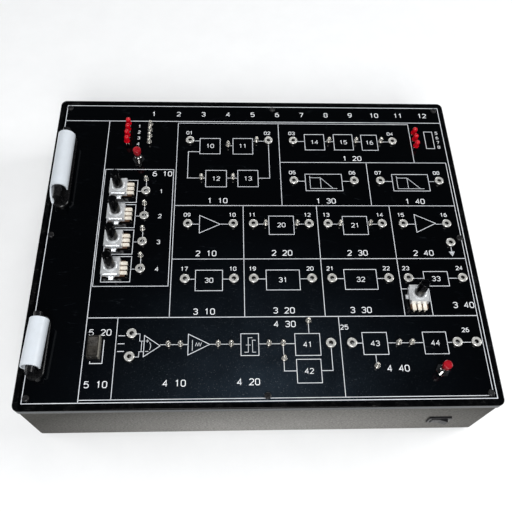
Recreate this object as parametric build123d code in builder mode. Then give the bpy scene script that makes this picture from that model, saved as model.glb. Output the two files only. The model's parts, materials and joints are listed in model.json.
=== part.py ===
"""A bench trainer for delta modulation: a black instrument case under a printed circuit panel.

The panel carries patch sockets, test pins, five potentiometers, two push buttons, a selector rocker, lamps
and two grips with white sleeves.  The case holds the main board, the supply and the mains inlet.
Millimetres, +X to the right, +Y to the back, +Z up, origin on the bench under the middle of the case.
"""
from build123d import *
import math
import os

os.makedirs("parts", exist_ok=True)


def save(builder, name):
    """Label one finished piece and write it under its own name."""
    builder.part.label = name
    export_step(builder.part, f"parts/{name}.step")


def placed(places):
    """Moves places measured on the layout size to the present size of the case."""
    return [(x * across, y * along) for x, y in places]


# Case, base plate and feet; the rim round the panel is a lip that stands proud of the walls
case_w = 424.0
case_d = 344.0
case_h = 85.0
lip_out = 1.0
lip_h = 8.0
case_wall = 4.0
case_corner_r = 6.0
case_edge_r = 1.2
inner_corner_r = 2.0
ledge_w = 5.0
ledge_t = 4.0
foot_h = 3.0
foot_r = 8.0
foot_edge = 0.6
foot_inset = 30.0
base_t = 2.0
plate_gap = 0.3
press_slack = 0.05

# Panel and main board
panel_t = 3.0
rim_recess = 0.4
board_t = 1.6
board_drop = 12.0
board_gap = 1.0
board_left_gap = 47.0
board_right_gap = 4.0
board_front_gap = 15.0
board_back_gap = 19.0
panel_edge = 0.3

# Screws
screw_r = 1.5
screw_head_r = 3.0
screw_head_h = 1.8
screw_slot_w = 0.8
screw_slot_deep = 0.8
screw_slot_turn = 20
screw_fit = 0.1
screw_end_gap = 1.0
panel_screw_inset = 6.0
panel_boss_r = 7.0
panel_boss_h = 16.0
panel_screw_l = 14.0
base_boss_r = 5.0
base_boss_h = 14.0
base_boss_in = 1.0
base_screw_l = 12.0

case_bottom = foot_h
case_top = foot_h + case_h
base_top = case_bottom + base_t
panel_top = case_top - rim_recess
panel_bottom = panel_top - panel_t
ledge_bottom = panel_bottom - ledge_t
board_top = panel_bottom - board_drop
board_bottom = board_top - board_t
body_w = case_w - 2 * lip_out
body_d = case_d - 2 * lip_out
inner_w = body_w - 2 * case_wall
inner_d = body_d - 2 * case_wall

# The inside size that the places below were measured on; they move with the case
layout_w = 414.0
layout_d = 334.0
across = inner_w / layout_w
along = inner_d / layout_d
corners = [(-1, -1), (-1, 1), (1, -1), (1, 1)]

# Screws at the corners of the panel and the base, and between them along the edges
back_screw_x = 20.0
front_screw_x = 5.0
right_screw_y = -4.0
panel_screw_x = inner_w / 2 - panel_screw_inset
panel_screw_y = inner_d / 2 - panel_screw_inset
panel_screws_at = [(side * panel_screw_x, end * panel_screw_y) for side, end in corners]
panel_screws_at += [(back_screw_x * across, panel_screw_y), (front_screw_x * across, -panel_screw_y)]
panel_screws_at += [(-panel_screw_x, 0.0), (panel_screw_x, right_screw_y * along)]
base_screw_x = inner_w / 2 - base_boss_r + base_boss_in
base_screw_y = inner_d / 2 - base_boss_r + base_boss_in
base_screws_at = [(side * base_screw_x, end * base_screw_y) for side, end in corners]
base_screws_at += [(0.0, -base_screw_y), (0.0, base_screw_y)]
feet_at = [(side * (case_w / 2 - foot_inset), end * (case_d / 2 - foot_inset)) for side, end in corners]

# Patch sockets, row by row from the back
clock_x = -112.5
clock_y = 51.6
clock_pitch = 29.7
modulator_y = 117.0
filter_y = 64.8
buffer_y = 12.5
compander_y = -48.4
lower_y = -113.6
socket_places = [(clock_x, clock_y - i * clock_pitch) for i in range(4)]
socket_places += [(x, modulator_y) for x in (-69.5, 14.2, 40.8, 148.7)]
socket_places += [(x, filter_y) for x in (39.0, 102.0, 129.4, 191.5)]
socket_places += [(x, buffer_y) for x in (-69.0, -24.0, -4.0, 51.5, 70.5, 125.0, 146.5, 190.5)]
socket_places += [(190.8, -9.4)]
socket_places += [(x, compander_y) for x in (-70.0, -23.7, -5.0, 50.4, 69.7, 124.3, 143.2, 195.7)]
socket_places += [(-115.6, -103.1), (-116.2, -124.9)]
socket_places += [(x, lower_y) for x in (63.3, 82.5, 179.0, 196.6)]
sockets_at = placed(socket_places)

socket_head_r = 4.5
socket_head_h = 2.5
socket_head_edge = 0.6
socket_barrel_r = 3.0
socket_bore_r = 2.05
socket_bore_deep = 13.0
socket_tail_r = 0.8
nut_across_flats = 8.0
nut_t = 2.5
tail_past_board = 1.5

# Test pins, turned with a collar on the panel, a neck and a head
lamp_pitch = 8.0
lamp_pin_x = -112.8
lamp_pin_back_y = 138.5
clock_pin_x = -112.9
clock_pin_back_y = 65.6
pin_places = [(lamp_pin_x, lamp_pin_back_y - i * lamp_pitch) for i in range(4)]
pin_places += [(clock_pin_x, clock_pin_back_y - i * clock_pitch) for i in range(4)]
pin_places += [(-29.0, 110.7), (1.4, modulator_y), (-56.7, 68.4), (-24.0, 68.4)]
pin_places += [(x, modulator_y) for x in (79.5, 109.0, 136.0)]
pin_places += [(x, buffer_y) for x in (8.3, 39.5, 83.0, 113.1)]
pin_places += [(x, lower_y) for x in (-82.5, -71.7, -38.1, -26.4, 7.4, 20.2, 125.2, 137.1)]
pin_places += [(20.7, -127.7), (44.2, -91.8), (103.1, -135.5)]
pins_at = placed(pin_places)

pin_collar_r = 2.6
pin_collar_h = 1.6
pin_collar_edge = 0.5
pin_neck_r = 1.1
pin_head_r = 1.8
pin_head_h = 2.2
pin_head_edge = 0.3
pin_h = 6.0
pin_dimple_r = 0.8
pin_dimple_deep = 1.0
pin_shank_r = 1.0

# Lamps: red 5 mm bodies on two wire legs each
lamp_r = 2.5
lamp_flange_r = 3.0
lamp_flange_h = 1.0
lamp_body_h = 6.1
lamp_lead = 0.6
lamp_lead_pitch = 2.54
lamp_lead_gap = 0.15
lamp_hole_r = 0.5
clock_lamp_x = -135.5
clock_lamp_back_y = 136.5
clock_lamp_lift = 4.5
clock_lamp_leans = (1.0, 3.0, -1.0, 2.0)
supply_lamp_x = 173.0
supply_lamp_back_y = 127.0
supply_lamp_pitch = 8.8
supply_lamp_lift = 3.0
supply_lamp_leans = (3.0, 1.0, 2.0)

# Potentiometers, 16 mm class
pot_side = 17.0
pot_x = -139.3
pot_back_y = 53.0
pot_pitch = 30.3
audio_pot_place = (149.0, -68.0)
pots_at = placed([(pot_x, pot_back_y - i * pot_pitch) for i in range(4)] + [audio_pot_place])
pot_top = 9.0
pot_sheet = 0.8
pot_wafer_lift = 1.0
pot_wafer_t = 1.6
pot_wafer_reach = 4.5
pot_collar_r = 6.4
pot_collar_h = 1.2
pot_collar_taper = 25
pot_wafer_in = 0.3
pot_lug_gap = 0.1
pot_lug_corner = 0.9
pot_lug_w = 3.6
pot_lug_pitch = 5.0
pot_lug_t = 0.8
pot_lug_reach = 6.5
pot_lug_pin = 1.0
pot_lug_past = 2.0
pot_lug_hole_r = 0.8
pot_tab_top_w = 13.0
pot_tab_foot_w = 4.0
pot_tab_out = 2.5
pot_stem_r = 3.0
pot_stem_fit = 0.08
pot_rotor_r = 6.0
pot_rotor_t = 1.5
knob_foot_r = 4.9
knob_tip_r = 4.2
knob_l = 20.0
knob_tip_edge = 0.9
knob_slot_w = 1.2
knob_slot_deep = 1.0
knob_gap = 0.3

# Push buttons
button_at = placed([(-122.3, 90.8), (160.8, -140.4)])
bush_r = 3.5
bush_h = 7.5
bush_body_r = 5.0
bush_body_l = 16.0
bush_hole_fit = 0.1
bush_edge = 0.4
button_nut_flats = 11.0
button_nut_t = 2.2
button_travel = 2.5
stem_r = 2.2
stem_fit = 0.08
chamber_r = 3.5
chamber_wall = 1.5
retainer_r = 3.1
retainer_t = 1.0
retainer_gap = 0.3
spring_gap = 0.1
spring_r = 2.9
spring_bore_r = 2.2
cap_r = 4.0
cap_foot_r = 2.9
cap_skirt_h = 3.6
cap_head_h = 4.4
cap_edge = 0.8
cap_gap = 0.4

# Clock selector: a small rocker that stands on the panel
selector_place = (-147.5, -116.5)
selector_w = 11.0
selector_l = 20.0
selector_h = 6.6
selector_wall = 1.2
selector_floor = 1.0
selector_tilt = 7.0
selector_edge = 0.3
rocker_pivot_r = 1.0
rocker_pivot_fit = 0.05
rocker_pivot_drop = 2.4
rocker_pivot_in = 0.7
rocker_pivot_gap = 0.1
rocker_side_gap = 0.3
rocker_end_gap = 0.8
rocker_lip = 0.6
rocker_end_low = 0.8
rocker_keel = 2.6

# Mains rocker on the front wall
power_x = 166.5 * across
power_z = 41.0
power_bezel_w = 21.0
power_bezel_h = 15.0
power_bezel_t = 2.0
power_bezel_corner = 1.2
power_bezel_edge = 0.6
power_body_w = 18.8
power_body_h = 12.9
power_body_deep = 18.0
power_wall = 1.4
power_floor = 4.0
power_tilt = 9.0
tag_w = 4.8
tag_t = 0.8
tag_l = 7.0
tag_pitch = 10.0

# Grips on the left margin and their sleeves
grip_inset = 10.7
grip_x = -inner_w / 2 + grip_inset
grip_plate_w = 16.0
grip_plate_t = 3.0
grip_plate_edge = 0.6
grip_margin = 2.5
grip_post_l = 5.0
grip_post_w = 7.0
grip_bar_r = 4.0
back_grip_y = 76.0
back_grip_l = 90.0
front_grip_y = -116.0
front_grip_l = 60.0
sleeve_axis_z = 13.1
sleeve_r = 8.6
sleeve_wall = 1.5
sleeve_from = -18.0
sleeve_arc = 248.0
sleeve_hang = 0.4
sleeve_end_gap = 8.0
back_sleeve_gap = 15.0
front_sleeve_skew = 2.5
tongue_l = 14.0
tongue_from = 178.0
tongue_tip_drop = 5.5
tongue_cut_over = 1.0
grip_screw_l = 5.0

# Mains inlet on the back wall
inlet_x = 150.0 * across
inlet_z = 36.0
inlet_flange_w = 50.0
inlet_flange_h = 23.0
inlet_flange_t = 3.0
inlet_flange_corner = 6.0
inlet_body_w = 27.4
inlet_body_h = 20.0
inlet_body_deep = 19.0
inlet_wall = 1.6
inlet_floor = 2.0
inlet_pin_w = 2.0
inlet_pin_h = 4.0
inlet_pin_l = 12.0
inlet_pin_pitch = 7.0
inlet_side_pin_drop = 1.5
inlet_earth_rise = 2.0
inlet_screw_pitch = 40.0
inlet_screw_l = 8.0

# Supply: transformer, board, capacitors, regulators and heat sink
core_at = placed([(-120.0, 100.0)])[0]
core_w = 57.0
core_h = 47.5
core_stack = 24.0
core_leg = 19.0
core_window_h = 28.5
coil_gap = 0.3
coil_end_gap = 0.1
coil_corner = 3.0
coil_over = 9.0
frame_t = 1.0
frame_foot = 11.0
supply_at = placed([(90.0, 85.0)])[0]
supply_w = 120.0
supply_d = 80.0
supply_lift = 6.0
supply_inset = 5.0
spacer_r = 3.0
spacer_screw_l = 5.0
capacitor_r = 6.5
capacitor_h = 25.0
capacitor_edge = 0.8
capacitor_inset = 20.0
capacitor_pitch = 18.0
sink_w = 80.0
sink_t = 2.0
sink_h = 32.0
sink_fin_l = 9.0
sink_fins = 9
sink_fin_t = 1.2
sink_fin_root = 0.5
sink_inset = 18.0
regulator_pitch = 26.0
regulator_w = 10.2
regulator_t = 4.4
regulator_h = 15.0
regulator_lift = 5.0
regulator_leg = 0.8
regulator_leg_pitch = 2.54
header_w = 24.0
header_d = 7.0
header_h = 8.0
header_inset_x = 25.0
header_inset_y = 26.0
header_x = supply_at[0] + supply_w / 2 - header_inset_x
header_y = supply_at[1] - supply_d / 2 + header_inset_y
ribbon_w = 20.0
ribbon_t = 1.2
ribbon_bulge = 10.0

# Chips under the main board
chip_l = 19.5
chip_w = 6.4
chip_h = 4.5
header_chip_gap = 3.25
header_chip_front = 1.0
header_chip_x = header_x + header_w / 2 + header_chip_gap + chip_l / 2
chips_at = placed([(-60.0, 90.0), (-10.0, 90.0), (90.0, 95.0)])
chips_at += [(header_chip_x, header_y - header_chip_front)]
chips_at += placed([(-100.0, 10.0), (20.0, -20.0), (95.0, -20.0)])
chips_at += placed([(-60.0, -85.0), (20.0, -85.0), (130.0, -100.0)])


def ring_plane(x, y, z):
    """A plane facing the front: its own x runs right and its own y runs up."""
    return Plane(origin=(x, y, z), x_dir=(1, 0, 0), z_dir=(0, -1, 0))


def pot_plane(index, z):
    """A level plane on one potentiometer, its own x towards the lugs."""
    towards_lugs = (1, 0, 0) if index < 4 else (0, -1, 0)
    return Plane(origin=(*pots_at[index], z), x_dir=towards_lugs, z_dir=(0, 0, 1))


def lamp_row(x, back_y, pitch, leans):
    """The places of a row of lamps, each with its lean about Y."""
    return list(zip(placed([(x, back_y - i * pitch) for i in range(len(leans))]), leans))


def lead_places(lamps):
    """The two legs of each lamp."""
    return [(x + side * lamp_lead_pitch / 2, y) for (x, y), _ in lamps for side in (-1, 1)]


clock_lamps = lamp_row(clock_lamp_x, clock_lamp_back_y, lamp_pitch, clock_lamp_leans)
supply_lamps = lamp_row(supply_lamp_x, supply_lamp_back_y, supply_lamp_pitch, supply_lamp_leans)
lamp_leads_at = lead_places(clock_lamps + supply_lamps)
lug_x = pot_side / 2 + pot_lug_reach - pot_lug_t / 2
lug_offsets = [(lug_x, i * pot_lug_pitch) for i in (-1, 0, 1)]
back_low = back_grip_y * along - back_grip_l / 2
front_low = front_grip_y * along - front_grip_l / 2
grips = {
    "back": (back_low, back_low + back_grip_l, back_sleeve_gap),
    "front": (front_low, front_low + front_grip_l, sleeve_end_gap),
}
grip_screws_at = [
    (grip_x, y) for low, high, _ in grips.values()
    for y in (low + grip_margin + grip_post_l / 2, high - grip_margin - grip_post_l / 2)
]
inlet_screws_at = [(-inlet_screw_pitch / 2, 0.0), (inlet_screw_pitch / 2, 0.0)]
supply_x, supply_y = supply_at
supply_spacers_at = [
    (supply_x + side * (supply_w / 2 - supply_inset), supply_y + end * (supply_d / 2 - supply_inset))
    for side, end in corners
]
supply_board_bottom = base_top + supply_lift
supply_board_top = supply_board_bottom + board_t
frame_screws_at = [
    (core_at[0] + side * (core_w / 2 + frame_t + frame_foot / 2), core_at[1]) for side in (-1, 1)
]

# Case: four walls with a lip at the top, a ledge under the panel and bosses for the screws
with BuildPart() as case:
    with BuildSketch(Plane.XY.offset(case_bottom)):
        RectangleRounded(body_w, body_d, case_corner_r - lip_out)
    extrude(amount=case_h)
    with BuildSketch(Plane.XY.offset(case_top - lip_h)):
        RectangleRounded(case_w, case_d, case_corner_r)
    extrude(amount=lip_h)
    with BuildSketch(Plane.XY.offset(case_bottom)):
        RectangleRounded(inner_w, inner_d, inner_corner_r)
    extrude(amount=case_h, mode=Mode.SUBTRACT)
    fillet(case.faces().sort_by(Axis.Z)[-1].outer_wire().edges(), case_edge_r)
    fillet(case.faces().sort_by(Axis.Z)[0].outer_wire().edges(), case_edge_r)
    with BuildSketch(Plane.XY.offset(ledge_bottom)):
        RectangleRounded(inner_w, inner_d, inner_corner_r)
        Rectangle(inner_w - 2 * ledge_w, inner_d - 2 * ledge_w, mode=Mode.SUBTRACT)
    extrude(amount=ledge_t)
    with BuildSketch(Plane.XY.offset(panel_bottom - panel_boss_h)):
        with Locations(*panel_screws_at):
            Circle(panel_boss_r)
        RectangleRounded(inner_w + case_wall, inner_d + case_wall, inner_corner_r, mode=Mode.INTERSECT)
    extrude(amount=panel_boss_h)
    with BuildSketch(Plane.XY.offset(base_top)):
        with Locations(*base_screws_at):
            Circle(base_boss_r)
        RectangleRounded(inner_w + case_wall, inner_d + case_wall, inner_corner_r, mode=Mode.INTERSECT)
    extrude(amount=base_boss_h)
    with BuildSketch(Plane.XY.offset(panel_bottom)):
        with Locations(*panel_screws_at):
            Circle(screw_r + screw_fit)
    extrude(amount=-panel_screw_l, mode=Mode.SUBTRACT)
    with BuildSketch(Plane.XY.offset(base_top)):
        with Locations(*base_screws_at):
            Circle(screw_r + screw_fit)
    extrude(amount=base_screw_l, mode=Mode.SUBTRACT)
    with BuildSketch(ring_plane(power_x, -inner_d / 2, power_z)):
        Rectangle(power_body_w + 2 * plate_gap, power_body_h + 2 * plate_gap)
    extrude(amount=case_wall, mode=Mode.SUBTRACT)
    with BuildSketch(ring_plane(inlet_x, body_d / 2, inlet_z)):
        Rectangle(inlet_body_w + 2 * plate_gap, inlet_body_h + 2 * plate_gap)
        with Locations(*inlet_screws_at):
            Circle(screw_r + screw_fit)
    extrude(amount=case_wall, mode=Mode.SUBTRACT)
save(case, "case")

with BuildPart() as base_plate:
    with BuildSketch(Plane.XY.offset(case_bottom)):
        RectangleRounded(inner_w - 2 * plate_gap, inner_d - 2 * plate_gap, inner_corner_r)
        with Locations(*base_screws_at, *supply_spacers_at, *frame_screws_at):
            Circle(screw_r + screw_fit, mode=Mode.SUBTRACT)
    extrude(amount=base_t)
save(base_plate, "base_plate")

with BuildPart() as rubber_feet:
    with BuildSketch(Plane.XY):
        with Locations(*feet_at):
            Circle(foot_r)
    extrude(amount=foot_h)
    chamfer(rubber_feet.edges().filter_by(GeomType.CIRCLE).group_by(Axis.Z)[0], foot_edge)
save(rubber_feet, "rubber_feet")


def screw_group(places, seat_z, length, head_down=False):
    """Slotted pan-head screws as separate solids, heads on seat_z and shanks through what they hold."""
    sign = -1 if head_down else 1
    with BuildPart() as screws:
        with BuildSketch(Plane.XY.offset(seat_z)):
            with Locations(*places):
                Circle(screw_head_r)
        extrude(amount=sign * screw_head_h)
        outer = screws.edges().filter_by(GeomType.CIRCLE).group_by(Axis.Z)[0 if head_down else -1]
        fillet(outer, screw_head_h / 2)
        with BuildSketch(Plane.XY.offset(seat_z)):
            with Locations(*places):
                Circle(screw_r)
        extrude(amount=-sign * length)
        with BuildSketch(Plane.XY.offset(seat_z + sign * screw_head_h)):
            with Locations(*places):
                Rectangle(2 * screw_head_r + screw_slot_w, screw_slot_w, rotation=screw_slot_turn)
        extrude(amount=-sign * screw_slot_deep, mode=Mode.SUBTRACT)
    return screws


save(screw_group(panel_screws_at, panel_top, panel_t + panel_screw_l - screw_end_gap), "panel_screws")
base_screw_in = base_t + base_screw_l - screw_end_gap
save(screw_group(base_screws_at, case_bottom, base_screw_in, head_down=True), "base_screws")

# Panel with a hole for everything it carries
with BuildPart() as front_panel:
    with BuildSketch(Plane.XY.offset(panel_bottom)):
        RectangleRounded(inner_w - 2 * plate_gap, inner_d - 2 * plate_gap, inner_corner_r)
        with Locations(*panel_screws_at):
            Circle(screw_r + screw_fit, mode=Mode.SUBTRACT)
        with Locations(*sockets_at):
            Circle(socket_barrel_r + press_slack, mode=Mode.SUBTRACT)
        with Locations(*pins_at):
            Circle(pin_shank_r + press_slack, mode=Mode.SUBTRACT)
        with Locations(*lamp_leads_at):
            Circle(lamp_hole_r, mode=Mode.SUBTRACT)
        with Locations(*button_at):
            Circle(bush_r + bush_hole_fit, mode=Mode.SUBTRACT)
        with Locations(*grip_screws_at):
            Circle(screw_r + screw_fit, mode=Mode.SUBTRACT)
    extrude(amount=panel_t)
    for pot in range(len(pots_at)):
        with BuildSketch(pot_plane(pot, panel_bottom)):
            with Locations(*lug_offsets):
                Circle(pot_lug_hole_r)
        extrude(amount=panel_t, mode=Mode.SUBTRACT)
    chamfer(front_panel.faces().sort_by(Axis.Z)[-1].outer_wire().edges(), panel_edge)
save(front_panel, "front_panel")

board_left = -inner_w / 2 + board_left_gap
board_right = inner_w / 2 - board_right_gap
board_front = -inner_d / 2 + board_front_gap
board_back = inner_d / 2 - board_back_gap
with BuildPart() as main_board:
    with BuildSketch(Plane.XY.offset(board_bottom)):
        with Locations(((board_left + board_right) / 2, (board_back + board_front) / 2)):
            Rectangle(board_right - board_left, board_back - board_front)
        with Locations(*sockets_at):
            Circle(socket_tail_r + press_slack, mode=Mode.SUBTRACT)
        with Locations(*pins_at):
            Circle(pin_shank_r + press_slack, mode=Mode.SUBTRACT)
        with Locations(*lamp_leads_at):
            Circle(lamp_hole_r, mode=Mode.SUBTRACT)
        with Locations(*button_at):
            Circle(bush_body_r + board_gap, mode=Mode.SUBTRACT)
        with Locations(*panel_screws_at):
            Circle(panel_boss_r + board_gap, mode=Mode.SUBTRACT)
    extrude(amount=board_t)
save(main_board, "main_board")

# Patch sockets: a round head on the panel, a threaded barrel and a tail soldered into the board
with BuildPart() as patch_sockets:
    with BuildSketch(Plane.XY.offset(panel_top)):
        with Locations(*sockets_at):
            Circle(socket_head_r)
    extrude(amount=socket_head_h)
    head_tops = patch_sockets.edges().filter_by(GeomType.CIRCLE).group_by(Axis.Z)[-1]
    fillet(head_tops, socket_head_edge)
    with BuildSketch(Plane.XY.offset(board_top)):
        with Locations(*sockets_at):
            Circle(socket_barrel_r)
    extrude(amount=panel_top - board_top)
    with BuildSketch(Plane.XY.offset(board_bottom - tail_past_board)):
        with Locations(*sockets_at):
            Circle(socket_tail_r)
    extrude(amount=board_t + tail_past_board)
    with BuildSketch(Plane.XY.offset(panel_top + socket_head_h)):
        with Locations(*sockets_at):
            Circle(socket_bore_r)
    extrude(amount=-socket_bore_deep, mode=Mode.SUBTRACT)
save(patch_sockets, "patch_sockets")

with BuildPart() as socket_nuts:
    with BuildSketch(Plane.XY.offset(panel_bottom)):
        with Locations(*sockets_at):
            RegularPolygon(nut_across_flats / 2, 6, major_radius=False)
            Circle(socket_barrel_r + press_slack, mode=Mode.SUBTRACT)
    extrude(amount=-nut_t)
save(socket_nuts, "socket_nuts")

with BuildPart() as test_pins:
    with BuildSketch(Plane.XY.offset(panel_top)):
        with Locations(*pins_at):
            Circle(pin_collar_r)
    extrude(amount=pin_collar_h)
    fillet(test_pins.edges().filter_by(GeomType.CIRCLE).group_by(Axis.Z)[-1], pin_collar_edge)
    with BuildSketch(Plane.XY.offset(panel_top + pin_h)):
        with Locations(*pins_at):
            Circle(pin_head_r)
    extrude(amount=-pin_head_h)
    fillet(test_pins.edges().filter_by(GeomType.CIRCLE).group_by(Axis.Z)[-1], pin_head_edge)
    with BuildSketch(Plane.XY.offset(panel_top)):
        with Locations(*pins_at):
            Circle(pin_neck_r)
    extrude(amount=pin_h - pin_head_h)
    with BuildSketch(Plane.XY.offset(panel_top + pin_h)):
        with Locations(*pins_at):
            Circle(pin_dimple_r)
    extrude(amount=-pin_dimple_deep, mode=Mode.SUBTRACT)
    with BuildSketch(Plane.XY.offset(board_bottom - tail_past_board)):
        with Locations(*pins_at):
            Circle(pin_shank_r)
    extrude(amount=panel_top - board_bottom + tail_past_board)
save(test_pins, "test_pins")


def lamp_group(lamps, lift):
    """Domed lamp bodies at one height above the panel, each leaning a little on its legs."""
    with BuildPart() as bodies:
        for (x, y), lean in lamps:
            lean_rad = math.radians(lean)
            up = (math.sin(lean_rad), 0.0, math.cos(lean_rad))
            level = (math.cos(lean_rad), 0.0, -math.sin(lean_rad))
            seat = Plane(origin=(x, y, panel_top + lift), x_dir=level, z_dir=up)
            with BuildSketch(Plane(origin=seat.origin, x_dir=level, z_dir=seat.y_dir * -1)):
                with BuildLine():
                    Polyline(
                        (0.0, lamp_body_h + lamp_r),
                        (0.0, 0.0),
                        (lamp_flange_r, 0.0),
                        (lamp_flange_r, lamp_flange_h),
                        (lamp_r, lamp_flange_h),
                        (lamp_r, lamp_body_h),
                    )
                    CenterArc((0.0, lamp_body_h), lamp_r, 0, 90)
                make_face()
            revolve(axis=Axis(seat.origin, up))
    return bodies


save(lamp_group(clock_lamps, clock_lamp_lift), "clock_lamps")
save(lamp_group(supply_lamps, supply_lamp_lift), "supply_lamps")

with BuildPart() as lamp_leads:
    for lamps, lift in ((clock_lamps, clock_lamp_lift), (supply_lamps, supply_lamp_lift)):
        with BuildSketch(Plane.XY.offset(board_bottom - tail_past_board)):
            with Locations(*lead_places(lamps)):
                Rectangle(lamp_lead, lamp_lead)
        extrude(amount=panel_top + lift - lamp_lead_gap - board_bottom + tail_past_board)
save(lamp_leads, "lamp_leads")

# Potentiometers: a folded steel cover, a wafer with three lugs and a knob on its stem
wafer_top = panel_top + pot_wafer_lift + pot_wafer_t
cover_top = panel_top + pot_top
collar_top = cover_top + pot_collar_h
for pot in range(len(pots_at)):
    with BuildPart() as pot_cover:
        with BuildSketch(pot_plane(pot, wafer_top)):
            Rectangle(pot_side, pot_side)
        extrude(amount=cover_top - wafer_top)
        with BuildSketch(pot_plane(pot, wafer_top)):
            Rectangle(pot_side - 2 * pot_sheet, pot_side - 2 * pot_sheet)
        extrude(amount=cover_top - wafer_top - pot_sheet, mode=Mode.SUBTRACT)
        with BuildSketch(pot_plane(pot, cover_top)):
            Circle(pot_collar_r)
        extrude(amount=pot_collar_h, taper=pot_collar_taper)
        with BuildSketch(pot_plane(pot, collar_top)):
            Circle(pot_stem_r + pot_stem_fit)
        extrude(amount=-pot_collar_h - pot_sheet, mode=Mode.SUBTRACT)
        level = pot_plane(pot, panel_top)
        flap = Plane(
            origin=level.from_local_coords((0.0, -pot_side / 2, 0.0)),
            x_dir=level.x_dir,
            z_dir=level.y_dir * -1,
        )
        with BuildSketch(flap):
            Polygon(
                (-pot_tab_top_w / 2, pot_top - 2 * pot_sheet),
                (pot_tab_top_w / 2, pot_top - 2 * pot_sheet),
                (pot_tab_foot_w / 2, 0.0),
                (-pot_tab_foot_w / 2, 0.0),
                align=None,
            )
        extrude(amount=pot_sheet)
        with BuildSketch(level):
            with Locations((0.0, -pot_side / 2 - pot_tab_out / 2)):
                Rectangle(pot_tab_foot_w, pot_tab_out)
        extrude(amount=pot_sheet)
    save(pot_cover, f"pot_cover_{pot + 1}")

with BuildPart() as pot_wafers:
    for pot in range(len(pots_at)):
        with BuildSketch(pot_plane(pot, panel_top + pot_wafer_lift)):
            with Locations((pot_wafer_reach / 2, 0.0)):
                Rectangle(pot_side + pot_wafer_reach, pot_side - 2 * pot_wafer_in)
        extrude(amount=pot_wafer_t)
save(pot_wafers, "pot_wafers")

with BuildPart() as pot_lugs:
    lug_l = pot_lug_reach - pot_lug_gap
    lug_mid = pot_side / 2 + pot_lug_gap + lug_l / 2
    for pot in range(len(pots_at)):
        with BuildSketch(pot_plane(pot, wafer_top)):
            with Locations(*[(lug_mid, i * pot_lug_pitch) for i in (-1, 0, 1)]):
                RectangleRounded(lug_l, pot_lug_w, pot_lug_corner)
        extrude(amount=pot_lug_t)
        with BuildSketch(pot_plane(pot, panel_bottom - pot_lug_past)):
            with Locations(*lug_offsets):
                Rectangle(pot_lug_t, pot_lug_pin)
        extrude(amount=wafer_top - panel_bottom + pot_lug_past)
save(pot_lugs, "pot_lugs")

knob_bottom = collar_top + knob_gap
rotor_top = cover_top - pot_sheet - knob_gap
for pot in range(len(pots_at)):
    with BuildPart() as pot_knob:
        with BuildSketch(pot_plane(pot, knob_bottom)):
            Circle(knob_foot_r)
        with BuildSketch(pot_plane(pot, knob_bottom + knob_l)):
            Circle(knob_tip_r)
        loft()
        fillet(pot_knob.edges().sort_by(Axis.Z)[-1], knob_tip_edge)
        with BuildSketch(pot_plane(pot, rotor_top)):
            Circle(pot_stem_r)
        extrude(amount=knob_bottom - rotor_top)
        with BuildSketch(pot_plane(pot, rotor_top)):
            Circle(pot_rotor_r)
        extrude(amount=-pot_rotor_t)
        with BuildSketch(pot_plane(pot, knob_bottom + knob_l)):
            Rectangle(knob_slot_w, 2 * knob_foot_r)
        extrude(amount=-knob_slot_deep, mode=Mode.SUBTRACT)
    save(pot_knob, f"pot_knob_{pot + 1}")

# Push buttons: a threaded bush with the switch body under the panel, a plunger and its cap
bush_top = panel_top + bush_h
bush_floor = panel_bottom - bush_body_l
chamber_top = panel_bottom - chamber_wall
retainer_top = chamber_top - retainer_gap
spring_top = retainer_top - retainer_t - spring_gap
spring_floor = bush_floor + chamber_wall
cap_bottom = bush_top + button_travel + cap_gap
for number, (x, y) in enumerate(button_at, start=1):
    with BuildPart() as button_bush:
        with BuildSketch(Plane(origin=(x, y, bush_floor))):
            Circle(bush_body_r)
        extrude(amount=bush_body_l)
        with BuildSketch(Plane(origin=(x, y, panel_bottom))):
            Circle(bush_r)
        extrude(amount=bush_top - panel_bottom)
        chamfer(button_bush.edges().filter_by(GeomType.CIRCLE).sort_by(Axis.Z)[-1], bush_edge)
        with BuildSketch(Plane(origin=(x, y, spring_floor))):
            Circle(chamber_r)
        extrude(amount=chamber_top - spring_floor, mode=Mode.SUBTRACT)
        with BuildSketch(Plane(origin=(x, y, chamber_top))):
            Circle(stem_r + stem_fit)
        extrude(amount=bush_top - chamber_top, mode=Mode.SUBTRACT)
    save(button_bush, f"button_bush_{number}")

    with BuildPart() as button_stem:
        with BuildSketch(Plane(origin=(x, y, retainer_top))):
            Circle(stem_r)
        extrude(amount=cap_bottom - retainer_top)
        with BuildSketch(Plane(origin=(x, y, retainer_top))):
            Circle(retainer_r)
        extrude(amount=-retainer_t)
    save(button_stem, f"button_stem_{number}")

    with BuildPart() as button_spring:
        with BuildSketch(Plane(origin=(x, y, spring_floor))):
            Circle(spring_r)
            Circle(spring_bore_r, mode=Mode.SUBTRACT)
        extrude(amount=spring_top - spring_floor)
    save(button_spring, f"button_spring_{number}")

    with BuildPart() as button_cap:
        with BuildSketch(Plane(origin=(x, y, cap_bottom))):
            Circle(cap_foot_r)
        with BuildSketch(Plane(origin=(x, y, cap_bottom + cap_skirt_h))):
            Circle(cap_r)
        loft()
        with BuildSketch(Plane(origin=(x, y, cap_bottom + cap_skirt_h))):
            Circle(cap_r)
        extrude(amount=cap_head_h)
        fillet(button_cap.edges().filter_by(GeomType.CIRCLE).sort_by(Axis.Z)[-1], cap_edge)
    save(button_cap, f"button_cap_{number}")

with BuildPart() as button_nuts:
    with BuildSketch(Plane.XY.offset(panel_top)):
        with Locations(*button_at):
            RegularPolygon(button_nut_flats / 2, 6, major_radius=False)
            Circle(bush_r + bush_hole_fit, mode=Mode.SUBTRACT)
    extrude(amount=button_nut_t)
save(button_nuts, "button_nuts")


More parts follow.
